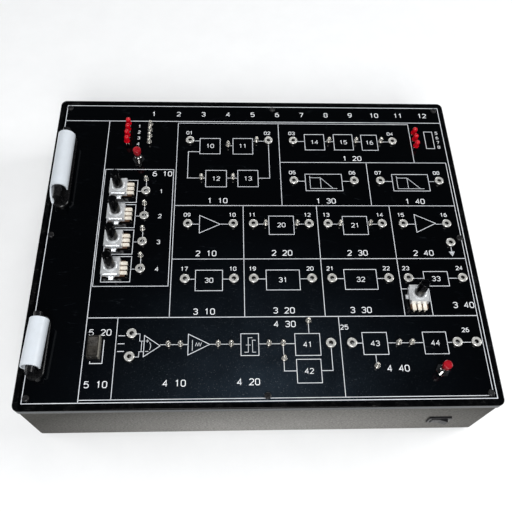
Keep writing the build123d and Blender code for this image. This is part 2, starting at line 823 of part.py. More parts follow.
def rocker_in(mouth, width, length, wall, tilt):
    """The rocker that fits a mouth plane: local x across it, local y along the tilt, local z out of it.

    The rocker is made tilted about its pivot, so that one end is down.
    """
    pivot = mouth.offset(-rocker_pivot_drop).origin
    lengthwise = mouth.y_dir.rotate(Axis((0, 0, 0), mouth.x_dir), tilt)
    side = Plane(origin=pivot, x_dir=lengthwise, z_dir=mouth.x_dir)
    half = length / 2 - wall - rocker_end_gap
    valley = rocker_pivot_drop + rocker_lip
    crest = valley + half * math.tan(math.radians(abs(tilt)))
    half_w = width / 2 - wall - rocker_side_gap
    with BuildPart() as rocker:
        with BuildSketch(side):
            Polygon(
                (-half, crest),
                (-half, -rocker_end_low),
                (-half / 3, -rocker_keel),
                (half / 3, -rocker_keel),
                (half, -rocker_end_low),
                (half, crest),
                (0.0, valley),
                align=None,
            )
        extrude(amount=half_w, both=True)
        with BuildSketch(side):
            Circle(rocker_pivot_r)
        extrude(amount=half_w + rocker_side_gap + rocker_pivot_in - rocker_pivot_gap, both=True)
    return rocker


# Clock selector, standing on the panel
sel_x, sel_y = placed([selector_place])[0]
selector_mouth = Plane(origin=(sel_x, sel_y, panel_top + selector_h))
with BuildPart() as selector_housing:
    with BuildSketch(Plane(origin=(sel_x, sel_y, panel_top))):
        Rectangle(selector_w, selector_l)
    extrude(amount=selector_h)
    chamfer(selector_housing.edges().group_by(Axis.Z)[-1], selector_edge)
    with BuildSketch(selector_mouth):
        Rectangle(selector_w - 2 * selector_wall, selector_l - 2 * selector_wall)
    extrude(amount=selector_floor - selector_h, mode=Mode.SUBTRACT)
    pivot_line = Plane(origin=(sel_x, sel_y, panel_top + selector_h - rocker_pivot_drop), z_dir=(1, 0, 0))
    with BuildSketch(pivot_line):
        Circle(rocker_pivot_r + rocker_pivot_fit)
    extrude(amount=selector_w / 2 - selector_wall + rocker_pivot_in, both=True, mode=Mode.SUBTRACT)
save(selector_housing, "selector_housing")
save(rocker_in(selector_mouth, selector_w, selector_l, selector_wall, selector_tilt), "selector_rocker")

# Mains rocker: a bezel on the front wall and a body through it
power_mouth = Plane(
    origin=(power_x, -body_d / 2 - power_bezel_t, power_z), x_dir=(0, 0, 1), z_dir=(0, -1, 0)
)
power_back = Plane(origin=(power_x, -body_d / 2, power_z), x_dir=(0, 0, 1), z_dir=(0, -1, 0))
with BuildPart() as power_switch_housing:
    with BuildSketch(power_back):
        RectangleRounded(power_bezel_h, power_bezel_w, power_bezel_corner)
    extrude(amount=power_bezel_t)
    front_edges = power_switch_housing.edges().group_by(Axis.Y)[0]
    fillet(front_edges, power_bezel_edge)
    with BuildSketch(power_back):
        Rectangle(power_body_h, power_body_w)
    extrude(amount=-power_body_deep)
    with BuildSketch(power_mouth):
        Rectangle(power_body_h - 2 * power_wall, power_body_w - 2 * power_wall)
    extrude(amount=power_floor - power_body_deep, mode=Mode.SUBTRACT)
    power_pivot = Plane(origin=power_mouth.offset(-rocker_pivot_drop).origin, z_dir=(0, 0, 1))
    with BuildSketch(power_pivot):
        Circle(rocker_pivot_r + rocker_pivot_fit)
    extrude(amount=power_body_h / 2 - power_wall + rocker_pivot_in, both=True, mode=Mode.SUBTRACT)
save(power_switch_housing, "power_switch_housing")
save(rocker_in(power_mouth, power_body_h, power_body_w, power_wall, -power_tilt), "power_switch_rocker")

with BuildPart() as switch_tags:
    with BuildSketch(power_back.offset(-power_body_deep)):
        with GridLocations(0, tag_pitch, 1, 2):
            Rectangle(tag_w, tag_t)
    extrude(amount=-tag_l)
save(switch_tags, "switch_tags")

# Grips: a plate, two posts and a round bar; a slit sleeve hangs on the bar
axis_z = panel_top + sleeve_axis_z
bar_z = axis_z + sleeve_r - sleeve_wall - sleeve_hang - grip_bar_r


def ring_sector(plane, start, arc):
    """A sketch of part of the sleeve's wall, from one angle through an arc."""
    with BuildSketch(plane) as sector:
        with BuildLine():
            outer = CenterArc((0, 0), sleeve_r, start, arc)
            inner = CenterArc((0, 0), sleeve_r - sleeve_wall, start, arc)
            Line(outer @ 0, inner @ 0)
            Line(outer @ 1, inner @ 1)
        make_face()
    return sector.sketch


for name, (low, high, sleeve_gap) in grips.items():
    with BuildPart() as grip:
        with BuildSketch(Plane(origin=(grip_x, (low + high) / 2, panel_top))):
            SlotOverall(high - low, grip_plate_w, rotation=90)
        extrude(amount=grip_plate_t)
        chamfer(grip.faces().sort_by(Axis.Z)[-1].outer_wire().edges(), grip_plate_edge)
        for post_y in (low + grip_margin + grip_post_l, high - grip_margin):
            with BuildSketch(ring_plane(grip_x, post_y, 0.0)):
                with Locations((0.0, (panel_top + bar_z) / 2)):
                    Rectangle(grip_post_w, bar_z - panel_top)
                with Locations((0.0, bar_z)):
                    Circle(grip_bar_r)
            extrude(amount=grip_post_l)
        with BuildSketch(ring_plane(grip_x, high - grip_margin, bar_z)):
            Circle(grip_bar_r)
        extrude(amount=high - low - 2 * grip_margin)
        with BuildSketch(Plane.XY.offset(panel_top)):
            with Locations(*[p for p in grip_screws_at if low < p[1] < high]):
                Circle(screw_r + screw_fit)
        extrude(amount=grip_screw_l, mode=Mode.SUBTRACT)
    save(grip, f"grip_{name}")

    sleeve_low = low + sleeve_gap
    sleeve_high = high - sleeve_end_gap
    sleeve_l = sleeve_high - sleeve_low
    skew = math.radians(front_sleeve_skew if name == "front" else 0.0)
    forward = Vector(-math.sin(skew), -math.cos(skew), 0.0)
    middle = Vector(grip_x, (sleeve_low + sleeve_high) / 2, axis_z)
    sleeve_x_dir = (math.cos(skew), -math.sin(skew), 0.0)
    back_end = Plane(origin=middle - forward * (sleeve_l / 2), x_dir=sleeve_x_dir, z_dir=forward)
    with BuildPart() as sleeve:
        extrude(ring_sector(back_end, sleeve_from, sleeve_arc), amount=sleeve_l, dir=forward)
        if name == "back":
            tongue_arc = sleeve_from + sleeve_arc - tongue_from
            tongue_root = ring_plane(grip_x, sleeve_low, axis_z)
            extrude(ring_sector(tongue_root, tongue_from, tongue_arc), amount=tongue_l, dir=forward)
            tongue_side = Plane(
                origin=(grip_x - sleeve_r - tongue_cut_over, 0, 0), x_dir=(0, 1, 0), z_dir=(1, 0, 0)
            )
            tip_y = sleeve_low - tongue_l
            with BuildSketch(tongue_side):
                Polygon(
                    (sleeve_low, axis_z + tongue_cut_over),
                    (tip_y - tongue_cut_over, axis_z + tongue_cut_over),
                    (tip_y - tongue_cut_over, axis_z - tongue_tip_drop),
                    (tip_y, axis_z - tongue_tip_drop),
                    align=None,
                )
            extrude(amount=sleeve_r, mode=Mode.SUBTRACT)
    save(sleeve, f"sleeve_{name}")

grip_screw_in = panel_t + grip_screw_l - screw_end_gap
save(screw_group(grip_screws_at, panel_bottom, grip_screw_in, head_down=True), "grip_screws")

# Mains inlet on the back wall
inlet_face = Plane(origin=(inlet_x, body_d / 2 + inlet_flange_t, inlet_z), x_dir=(-1, 0, 0), z_dir=(0, 1, 0))
with BuildPart() as power_inlet:
    with BuildSketch(inlet_face):
        RectangleRounded(inlet_flange_w, inlet_flange_h, inlet_flange_corner)
        with Locations(*inlet_screws_at):
            Circle(screw_r + screw_fit, mode=Mode.SUBTRACT)
    extrude(amount=-inlet_flange_t)
    with BuildSketch(inlet_face):
        Rectangle(inlet_body_w, inlet_body_h)
    extrude(amount=-inlet_body_deep - inlet_flange_t)
    with BuildSketch(inlet_face):
        Rectangle(inlet_body_w - 2 * inlet_wall, inlet_body_h - 2 * inlet_wall)
    extrude(amount=-inlet_body_deep - inlet_flange_t + inlet_floor, mode=Mode.SUBTRACT)
save(power_inlet, "power_inlet")

inlet_floor_y = body_d / 2 - inlet_body_deep + inlet_floor
inlet_pins_at = [(side * inlet_pin_pitch, -inlet_side_pin_drop) for side in (-1, 1)]
inlet_pins_at += [(0.0, inlet_earth_rise)]
with BuildPart() as inlet_pins:
    with BuildSketch(Plane(origin=(inlet_x, inlet_floor_y, inlet_z), x_dir=(-1, 0, 0), z_dir=(0, 1, 0))):
        with Locations(*inlet_pins_at):
            Rectangle(inlet_pin_w, inlet_pin_h)
    extrude(amount=inlet_pin_l)
save(inlet_pins, "inlet_pins")

with BuildPart() as inlet_screws:
    with BuildSketch(inlet_face):
        with Locations(*inlet_screws_at):
            Circle(screw_head_r)
    extrude(amount=screw_head_h)
    with BuildSketch(inlet_face):
        with Locations(*inlet_screws_at):
            Circle(screw_r)
    extrude(amount=-inlet_screw_l)
save(inlet_screws, "inlet_screws")

# Transformer: a laminated core, its coil and the frame that holds it to the base plate
core_plane = ring_plane(core_at[0], core_at[1] + core_stack / 2, base_top + core_h / 2)
window_w = (core_w - 2 * core_leg) / 2
window_x = core_leg / 2 + window_w / 2
with BuildPart() as transformer_core:
    with BuildSketch(core_plane):
        Rectangle(core_w, core_h)
        with Locations((-window_x, 0.0), (window_x, 0.0)):
            Rectangle(window_w, core_window_h, mode=Mode.SUBTRACT)
    extrude(amount=core_stack)
save(transformer_core, "transformer_core")

coil_z = base_top + core_h / 2 - core_window_h / 2 + coil_end_gap
with BuildPart() as transformer_coil:
    with BuildSketch(Plane(origin=(core_at[0], core_at[1], coil_z))):
        RectangleRounded(core_leg + 2 * window_w - 2 * coil_gap, core_stack + 2 * coil_over, coil_corner)
        Rectangle(core_leg + coil_gap, core_stack + coil_gap, mode=Mode.SUBTRACT)
    extrude(amount=core_window_h - 2 * coil_end_gap)
save(transformer_coil, "transformer_coil")

with BuildPart() as transformer_frame:
    frame_top = base_top + core_h + frame_t
    frame_plane = ring_plane(core_at[0], core_at[1] + core_stack / 4, 0.0)
    frame_out = core_w / 2 + frame_t
    with BuildSketch(frame_plane):
        Polygon(
            (-frame_out - frame_foot, base_top),
            (-frame_out - frame_foot, base_top + frame_t),
            (-frame_out, base_top + frame_t),
            (-frame_out, frame_top),
            (frame_out, frame_top),
            (frame_out, base_top + frame_t),
            (frame_out + frame_foot, base_top + frame_t),
            (frame_out + frame_foot, base_top),
            (core_w / 2, base_top),
            (core_w / 2, base_top + core_h),
            (-core_w / 2, base_top + core_h),
            (-core_w / 2, base_top),
            align=None,
        )
    extrude(amount=core_stack / 2)
    with BuildSketch(Plane.XY.offset(base_top)):
        with Locations(*frame_screws_at):
            Circle(screw_r + screw_fit)
    extrude(amount=frame_t, mode=Mode.SUBTRACT)
save(transformer_frame, "transformer_frame")

# Supply board on spacers, with what stands on it
with BuildPart() as supply_board:
    with BuildSketch(Plane.XY.offset(supply_board_bottom)):
        with Locations(supply_at):
            Rectangle(supply_w, supply_d)
        with Locations(*supply_spacers_at):
            Circle(screw_r + screw_fit, mode=Mode.SUBTRACT)
    extrude(amount=board_t)
save(supply_board, "supply_board")

with BuildPart() as supply_spacers:
    with BuildSketch(Plane.XY.offset(base_top)):
        with Locations(*supply_spacers_at):
            Circle(spacer_r)
            Circle(screw_r + screw_fit, mode=Mode.SUBTRACT)
    extrude(amount=supply_lift)
save(supply_spacers, "supply_spacers")

inner_screws = screw_group(supply_spacers_at, supply_board_top, board_t + supply_lift + base_t)
save(inner_screws, "supply_screws")
save(screw_group(frame_screws_at, base_top + frame_t, frame_t + base_t), "frame_screws")

capacitor_x = supply_x - supply_w / 2 + capacitor_inset
capacitor_y = supply_y - supply_d / 2 + capacitor_inset
with BuildPart() as filter_capacitors:
    with BuildSketch(Plane.XY.offset(supply_board_top)):
        with Locations(*[(capacitor_x + i * capacitor_pitch, capacitor_y) for i in range(3)]):
            Circle(capacitor_r)
    extrude(amount=capacitor_h)
    fillet(filter_capacitors.edges().filter_by(GeomType.CIRCLE).group_by(Axis.Z)[-1], capacitor_edge)
save(filter_capacitors, "filter_capacitors")

sink_y = supply_y + supply_d / 2 - sink_inset
with BuildPart() as heat_sink:
    with BuildSketch(Plane.XY.offset(supply_board_top)):
        with Locations((supply_x, sink_y)):
            Rectangle(sink_w, sink_t)
        fin_step = (sink_w - sink_fin_t) / (sink_fins - 1)
        with Locations((supply_x, sink_y + sink_t / 2 + sink_fin_l / 2 - sink_fin_root)):
            with GridLocations(fin_step, 0, sink_fins, 1):
                Rectangle(sink_fin_t, sink_fin_l)
    extrude(amount=sink_h)
save(heat_sink, "heat_sink")

regulator_y = sink_y - sink_t / 2 - regulator_t / 2
regulators_x = [supply_x + i * regulator_pitch for i in (-1, 0, 1)]
with BuildPart() as regulators:
    with BuildSketch(Plane.XY.offset(supply_board_top + regulator_lift)):
        with Locations(*[(x, regulator_y) for x in regulators_x]):
            Rectangle(regulator_w, regulator_t)
    extrude(amount=regulator_h)
    with BuildSketch(Plane.XY.offset(supply_board_top)):
        with Locations(*[
            (x + i * regulator_leg_pitch, regulator_y) for x in regulators_x for i in (-1, 0, 1)
        ]):
            Rectangle(regulator_leg, regulator_leg)
    extrude(amount=regulator_lift)
save(regulators, "regulators")

# Ribbon between the boards, with a header at each end
with BuildPart() as ribbon_headers:
    with BuildSketch(Plane.XY.offset(supply_board_top)):
        with Locations((header_x, header_y)):
            Rectangle(header_w, header_d)
    extrude(amount=header_h)
    with BuildSketch(Plane.XY.offset(board_bottom)):
        with Locations((header_x, header_y)):
            Rectangle(header_w, header_d)
    extrude(amount=-header_h)
save(ribbon_headers, "ribbon_headers")

ribbon_low = supply_board_top + header_h
ribbon_high = board_bottom - header_h
ribbon_mid = (ribbon_low + ribbon_high) / 2
ribbon_plane = Plane(origin=(header_x - ribbon_w / 2, header_y, 0), x_dir=(0, 1, 0), z_dir=(1, 0, 0))
with BuildPart() as supply_ribbon:
    with BuildSketch(ribbon_plane):
        with BuildLine():
            for edge in (0.0, ribbon_t):
                ThreePointArc((edge, ribbon_low), (edge - ribbon_bulge, ribbon_mid), (edge, ribbon_high))
            for level in (ribbon_low, ribbon_high):
                Line((0.0, level), (ribbon_t, level))
        make_face()
    extrude(amount=ribbon_w)
save(supply_ribbon, "supply_ribbon")

# Chips on the underside of the main board
with BuildPart() as chips:
    with BuildSketch(Plane.XY.offset(board_bottom)):
        with Locations(*chips_at):
            Rectangle(chip_l, chip_w)
    extrude(amount=-chip_h)
save(chips, "chips")
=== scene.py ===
# %% [markdown]
# # A delta modulation trainer
#
# The object is a bench instrument for teaching: a dark moulded case with a glossy black circuit panel on top.
# Signals are patched from socket to socket along a printed circuit diagram, and small potentiometers,
# buttons and lamps set and show the clock.
#
# The solid model already holds every piece at its real size.  This lesson gives each piece its finish, prints
# the diagram and the numbers on the panel, and winds the springs under the buttons.  Everything is in metres,
# in the frame of the solid model: +X right, +Y back, +Z up, with the origin on the bench.

# %% Load the solid model
import json
import math

import bpy
import numpy as np
from mathutils import Matrix, Vector


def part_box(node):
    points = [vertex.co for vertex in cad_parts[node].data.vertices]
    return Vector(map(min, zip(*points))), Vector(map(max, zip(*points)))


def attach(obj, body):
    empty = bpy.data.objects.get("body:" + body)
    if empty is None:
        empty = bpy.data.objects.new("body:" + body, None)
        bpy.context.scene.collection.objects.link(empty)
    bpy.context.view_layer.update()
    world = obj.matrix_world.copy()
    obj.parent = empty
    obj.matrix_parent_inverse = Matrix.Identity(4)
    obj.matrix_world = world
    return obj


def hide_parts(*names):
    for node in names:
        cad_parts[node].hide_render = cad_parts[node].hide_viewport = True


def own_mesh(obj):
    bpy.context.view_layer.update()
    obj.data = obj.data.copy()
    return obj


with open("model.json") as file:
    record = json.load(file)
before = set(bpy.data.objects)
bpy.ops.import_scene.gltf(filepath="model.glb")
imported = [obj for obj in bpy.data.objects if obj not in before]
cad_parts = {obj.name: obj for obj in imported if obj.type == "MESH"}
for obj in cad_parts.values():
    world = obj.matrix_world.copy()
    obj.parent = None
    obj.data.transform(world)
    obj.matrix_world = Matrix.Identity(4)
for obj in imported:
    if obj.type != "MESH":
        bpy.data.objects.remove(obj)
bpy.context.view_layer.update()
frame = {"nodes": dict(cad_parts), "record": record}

# %% [markdown]
# Sizes on the panel are easiest to read in millimetres, so one factor turns them into metres.  The height of
# the panel's surface comes from the solid model, because all that is printed or fastened there starts from it.

# %% Units and the levels that everything starts from
MM = 0.001
panel_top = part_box("front_panel")[1][2]
rim_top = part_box("case")[1][2]
print(f"panel surface at {panel_top / MM:.1f} mm, rim at {rim_top / MM:.1f} mm")

# %% [markdown]
# ## The camera
#
# The picture was taken from above and a little to the left, with the case turned slightly.  A camera is a
# position and three directions: where it looks, what is right of it and what is above it.  Those follow from
# three angles, so the angles are what is written here.

# %% Place the camera
pitch_down = math.radians(61.3)
yaw = math.radians(-5.18)
roll = math.radians(4.43)
camera_place = Vector((-0.0284, -0.3125, 0.6175))
camera_lens = 43.9

look = Vector((-math.cos(pitch_down) * math.sin(yaw), math.cos(pitch_down) * math.cos(yaw), -math.sin(pitch_down)))
level_right = Vector((math.cos(yaw), math.sin(yaw), 0.0))
level_up = level_right.cross(look)
right = level_right * math.cos(roll) + level_up * math.sin(roll)
up = level_up * math.cos(roll) - level_right * math.sin(roll)

camera_data = bpy.data.cameras.new("camera")
camera_data.sensor_width = 36.0
camera_data.lens = camera_lens
camera_data.clip_start = 0.01
camera = bpy.data.objects.new("camera", camera_data)
bpy.context.scene.collection.objects.link(camera)
turn = Matrix((right, up, -look)).transposed().to_4x4()
camera.matrix_world = Matrix.Translation(camera_place) @ turn
bpy.context.scene.camera = camera
print("camera looks down", round(math.degrees(pitch_down), 1), "degrees")

# %% [markdown]
# ## Floor and light
#
# The object stands on plain white paper.  A glossy black panel shows what stands over it, so the air above
# stays dark and the soft lights stand to the sides, in front and behind, where the panel doesn't mirror them
# towards this camera.  They light the paper, and the paper lights the sides of the case.

# %% Make the floor
floor_half = 3.0


def new_object(name, mesh):
    """Links a mesh into the scene as an object that stays at the origin."""
    obj = bpy.data.objects.new(name, mesh)
    bpy.context.scene.collection.objects.link(obj)
    return obj


floor_corners = [(floor_half * x, floor_half * y, 0) for x, y in ((-1, -1), (1, -1), (1, 1), (-1, 1))]
floor_mesh = bpy.data.meshes.new("floor")
floor_mesh.from_pydata(floor_corners, [], [(0, 1, 2, 3)])
floor = new_object("floor", floor_mesh)
print("floor is", 2 * floor_half, "m wide")

# %% Set the air and the lights
world = bpy.data.worlds.new("air")
world.use_nodes = True
world.node_tree.nodes["Background"].inputs["Color"].default_value = (0.8, 0.9, 1.0, 1.0)
world.node_tree.nodes["Background"].inputs["Strength"].default_value = 0.05
bpy.context.scene.world = world
bpy.context.scene.view_settings.view_transform = "Standard"


def soft_light(name, place, target, size, power):
    """A square area light at a place, turned to face a target, both in metres."""
    light = bpy.data.lights.new(name, "AREA")
    light.shape = "SQUARE"
    light.size = size
    light.energy = power
    obj = bpy.data.objects.new(name, light)
    obj.location = place
    obj.rotation_mode = "QUATERNION"
    obj.rotation_quaternion = (Vector(target) - Vector(place)).to_track_quat("-Z", "Y")
    bpy.context.scene.collection.objects.link(obj)


soft_light("front_light", (0.1, -1.6, 1.5), (0, 0, 0), 0.9, 27)
soft_light("high_light", (-0.15, -0.95, 2.1), (0, 0, 0), 0.7, 22)
soft_light("left_light", (-1.7, 0.1, 1.0), (0, 0, 0), 0.9, 9)
soft_light("right_light", (1.7, 0.2, 1.1), (0, 0, 0), 0.9, 20)
soft_light("back_light", (0.2, 2.2, 0.9), (0, 0.2, 0), 1.2, 20)

# %% [markdown]
# ## Finishes
#
# Each finish is one material.  A material is a small graph of nodes, and the same few steps come back in all
# of them, so short helpers add a node and join it.  Effects that several materials share are node groups:
# fine grain, dust that lies on surfaces that face up, and scratches.

# %% Helpers for node graphs
def add(tree, kind, **values):
    """Adds a node to a tree and sets its inputs or properties by name."""
    node = tree.nodes.new(kind)
    for key, value in values.items():
        name = key.replace("_", " ")
        if hasattr(node, key):
            setattr(node, key, value)
        elif name in node.inputs:
            node.inputs[name].default_value = value
        else:
            raise KeyError(f"{kind} has no {key}")
    return node


def join(tree, source, output, target, socket):
    """Joins one node's output to another node's input, both by name or number."""
    tree.links.new(source.outputs[output], target.inputs[socket])


def new_group(name, inputs, outputs):
    """A node group with named inputs (name, default) and outputs (name, kind)."""
    group = bpy.data.node_groups.new(name, "ShaderNodeTree")
    for label, default in inputs:
        socket = group.interface.new_socket(label, in_out="INPUT", socket_type="NodeSocketFloat")
        socket.default_value = default
    for label, kind in outputs:
        group.interface.new_socket(label, in_out="OUTPUT", socket_type=kind)
    return group, group.nodes.new("NodeGroupInput"), group.nodes.new("NodeGroupOutput")


# %% Fine grain: noise on object coordinates, as a mask and as a bump
grain, grain_in, grain_out = new_group(
    "fine_grain",
    [("Scale", 800.0), ("Strength", 0.2), ("Height", 0.0001)],
    [("Mask", "NodeSocketFloat"), ("Normal", "NodeSocketVector")],
)
coords = add(grain, "ShaderNodeTexCoord")
noise = add(grain, "ShaderNodeTexNoise", Detail=4.0, Roughness=0.6)
bump = add(grain, "ShaderNodeBump")
join(grain, coords, "Object", noise, "Vector")
join(grain, grain_in, "Scale", noise, "Scale")
join(grain, noise, "Fac", bump, "Height")
join(grain, grain_in, "Strength", bump, "Strength")
join(grain, grain_in, "Height", bump, "Distance")
join(grain, noise, "Fac", grain_out, "Mask")
join(grain, bump, "Normal", grain_out, "Normal")
print("group", grain.name)

# %% Dust: patches on what faces up, thick where a coarse noise is high
dust, dust_in, dust_out = new_group("dust", [("Amount", 0.3), ("Scale", 60.0)], [("Mask", "NodeSocketFloat")])
coords = add(dust, "ShaderNodeTexCoord")
coarse = add(dust, "ShaderNodeTexNoise", Detail=6.0, Roughness=0.7)
speck = add(dust, "ShaderNodeTexNoise", Scale=2600.0, Detail=1.0)
coarse_range = add(dust, "ShaderNodeMapRange", From_Min=0.45, From_Max=0.75)
speck_range = add(dust, "ShaderNodeMapRange", From_Min=0.62, From_Max=0.72)
normal = add(dust, "ShaderNodeNewGeometry")
split = add(dust, "ShaderNodeSeparateXYZ")
upward = add(dust, "ShaderNodeMapRange", From_Min=0.3, From_Max=0.9)
both = add(dust, "ShaderNodeMath", operation="ADD")
facing = add(dust, "ShaderNodeMath", operation="MULTIPLY")
scaled = add(dust, "ShaderNodeMath", operation="MULTIPLY", use_clamp=True)
join(dust, coords, "Object", coarse, "Vector")
join(dust, coords, "Object", speck, "Vector")
join(dust, dust_in, "Scale", coarse, "Scale")
join(dust, coarse, "Fac", coarse_range, "Value")
join(dust, speck, "Fac", speck_range, "Value")
join(dust, normal, "Normal", split, "Vector")
join(dust, split, "Z", upward, "Value")
join(dust, coarse_range, "Result", both, 0)
join(dust, speck_range, "Result", both, 1)
join(dust, both, "Value", facing, 0)
join(dust, upward, "Result", facing, 1)
join(dust, facing, "Value", scaled, 0)
join(dust, dust_in, "Amount", scaled, 1)
join(dust, scaled, "Value", dust_out, "Mask")
print("group", dust.name)

# %% Scratches: thin lines where a stretched noise crosses its middle value, broken up by a second noise
scratches, scratch_in, scratch_out = new_group(
    "scratches", [("Amount", 0.3), ("Scale", 30.0)], [("Mask", "NodeSocketFloat")]
)
coords = add(scratches, "ShaderNodeTexCoord")
stretch = add(scratches, "ShaderNodeMapping")
stretch.inputs["Scale"].default_value = (1.0, 7.0, 1.0)
stretch.inputs["Rotation"].default_value = (0.0, 0.0, 0.5)
lines = add(scratches, "ShaderNodeTexNoise", Detail=3.0, Roughness=0.5, Distortion=0.4)
middle = add(scratches, "ShaderNodeMath", operation="SUBTRACT")
middle.inputs[1].default_value = 0.5
width = add(scratches, "ShaderNodeMath", operation="ABSOLUTE")
thin = add(scratches, "ShaderNodeMapRange", From_Min=0.0, From_Max=0.006, To_Min=1.0, To_Max=0.0)
breaks = add(scratches, "ShaderNodeTexNoise", Scale=90.0, Detail=2.0)
gaps = add(scratches, "ShaderNodeMapRange", From_Min=0.52, From_Max=0.62)
shown = add(scratches, "ShaderNodeMath", operation="MULTIPLY")
scaled = add(scratches, "ShaderNodeMath", operation="MULTIPLY", use_clamp=True)
join(scratches, coords, "Object", stretch, "Vector")
join(scratches, stretch, "Vector", lines, "Vector")
join(scratches, scratch_in, "Scale", lines, "Scale")
join(scratches, lines, "Fac", middle, 0)
join(scratches, middle, "Value", width, 0)
join(scratches, width, "Value", thin, "Value")
join(scratches, coords, "Object", breaks, "Vector")
join(scratches, breaks, "Fac", gaps, "Value")
join(scratches, thin, "Result", shown, 0)
join(scratches, gaps, "Result", shown, 1)
join(scratches, shown, "Value", scaled, 0)
join(scratches, scratch_in, "Amount", scaled, 1)
join(scratches, scaled, "Value", scratch_out, "Mask")
print("group", scratches.name)

# %% [markdown]
# A finish then mixes a base colour with a second one by a mask, and does the same with the roughness.  Most
# pieces need only that and a fine bump, so one function makes them.  What differs from piece to piece is
# written where the finish is used: how dark, how glossy, how coarse the grain, how much dust.

# %% One function for most finishes
def use_group(tree, group, **values):
    """Places a node group in a material and sets its inputs by name."""
    node = tree.nodes.new("ShaderNodeGroup")
    node.node_tree = group
    for key, value in values.items():
        node.inputs[key.replace("_", " ")].default_value = value
    return node


def mix_colour(tree, mask, low, high):
    """Mixes two colours, or a node's colour and a fixed one, by a mask given as (node, output)."""
    node = add(tree, "ShaderNodeMix", data_type="RGBA")
    tree.links.new(mask[0].outputs[mask[1]], node.inputs[0])
    for socket, value in ((node.inputs[6], low), (node.inputs[7], high)):
        if isinstance(value, tuple) and len(value) == 4:
            socket.default_value = value
        else:
            tree.links.new(value.outputs[2], socket)
    return node


dust_grey = (0.42, 0.42, 0.41, 1.0)


def finish(
    name, colour, second, rough, grain_scale=900.0, bump_strength=0.15, bump_height=0.0001, metallic=0.0,
    dust_amount=0.0, dust_scale=60.0, scratch_amount=0.0, scratch_scale=30.0, scratch_colour=(0.3, 0.3, 0.3),
    blotch=25.0, **shader_values,
):
    """A material: two colours mixed by a soft blotch, grain in the bump and roughness, then scratches and dust."""
    material = bpy.data.materials.new(name)
    material.use_nodes = True
    tree = material.node_tree
    shader = tree.nodes["Principled BSDF"]
    shader.inputs["Metallic"].default_value = metallic
    for key, value in shader_values.items():
        shader.inputs[key.replace("_", " ")].default_value = value
    coords = add(tree, "ShaderNodeTexCoord")
    blotches = add(tree, "ShaderNodeTexNoise", Scale=blotch, Detail=5.0, Roughness=0.65)
    soft = add(tree, "ShaderNodeMapRange", From_Min=0.35, From_Max=0.65)
    join(tree, coords, "Object", blotches, "Vector")
    join(tree, blotches, "Fac", soft, "Value")
    colour_node = mix_colour(tree, (soft, "Result"), (*colour, 1.0), (*second, 1.0))
    fine = use_group(tree, grain, Scale=grain_scale, Strength=bump_strength, Height=bump_height)
    roughness = add(tree, "ShaderNodeMapRange", From_Min=0.35, From_Max=0.65, To_Min=rough[0], To_Max=rough[1])
    join(tree, fine, "Mask", roughness, "Value")
    if scratch_amount:
        marks = use_group(tree, scratches, Amount=scratch_amount, Scale=scratch_scale)
        colour_node = mix_colour(tree, (marks, "Mask"), colour_node, (*scratch_colour, 1.0))
    if dust_amount:
        film = use_group(tree, dust, Amount=dust_amount, Scale=dust_scale)
        colour_node = mix_colour(tree, (film, "Mask"), colour_node, dust_grey)
    tree.links.new(colour_node.outputs[2], shader.inputs["Base Color"])
    join(tree, roughness, "Result", shader, "Roughness")
    join(tree, fine, "Normal", shader, "Normal")
    return material


# %% [markdown]
# The floor is paper, so it gets a little tooth.

# %% Floor finish
floor.data.materials.append(
    finish("paper", (0.86, 0.865, 0.87), (0.84, 0.845, 0.85), rough=(0.7, 0.9), grain_scale=300.0, bump_strength=0.05)
)
print("floor finished as", floor.data.materials[0].name)

# %% [markdown]
# ## Finishes of the solid pieces
#
# The record says which material slot each node uses.  The table below gives one finish to each slot.

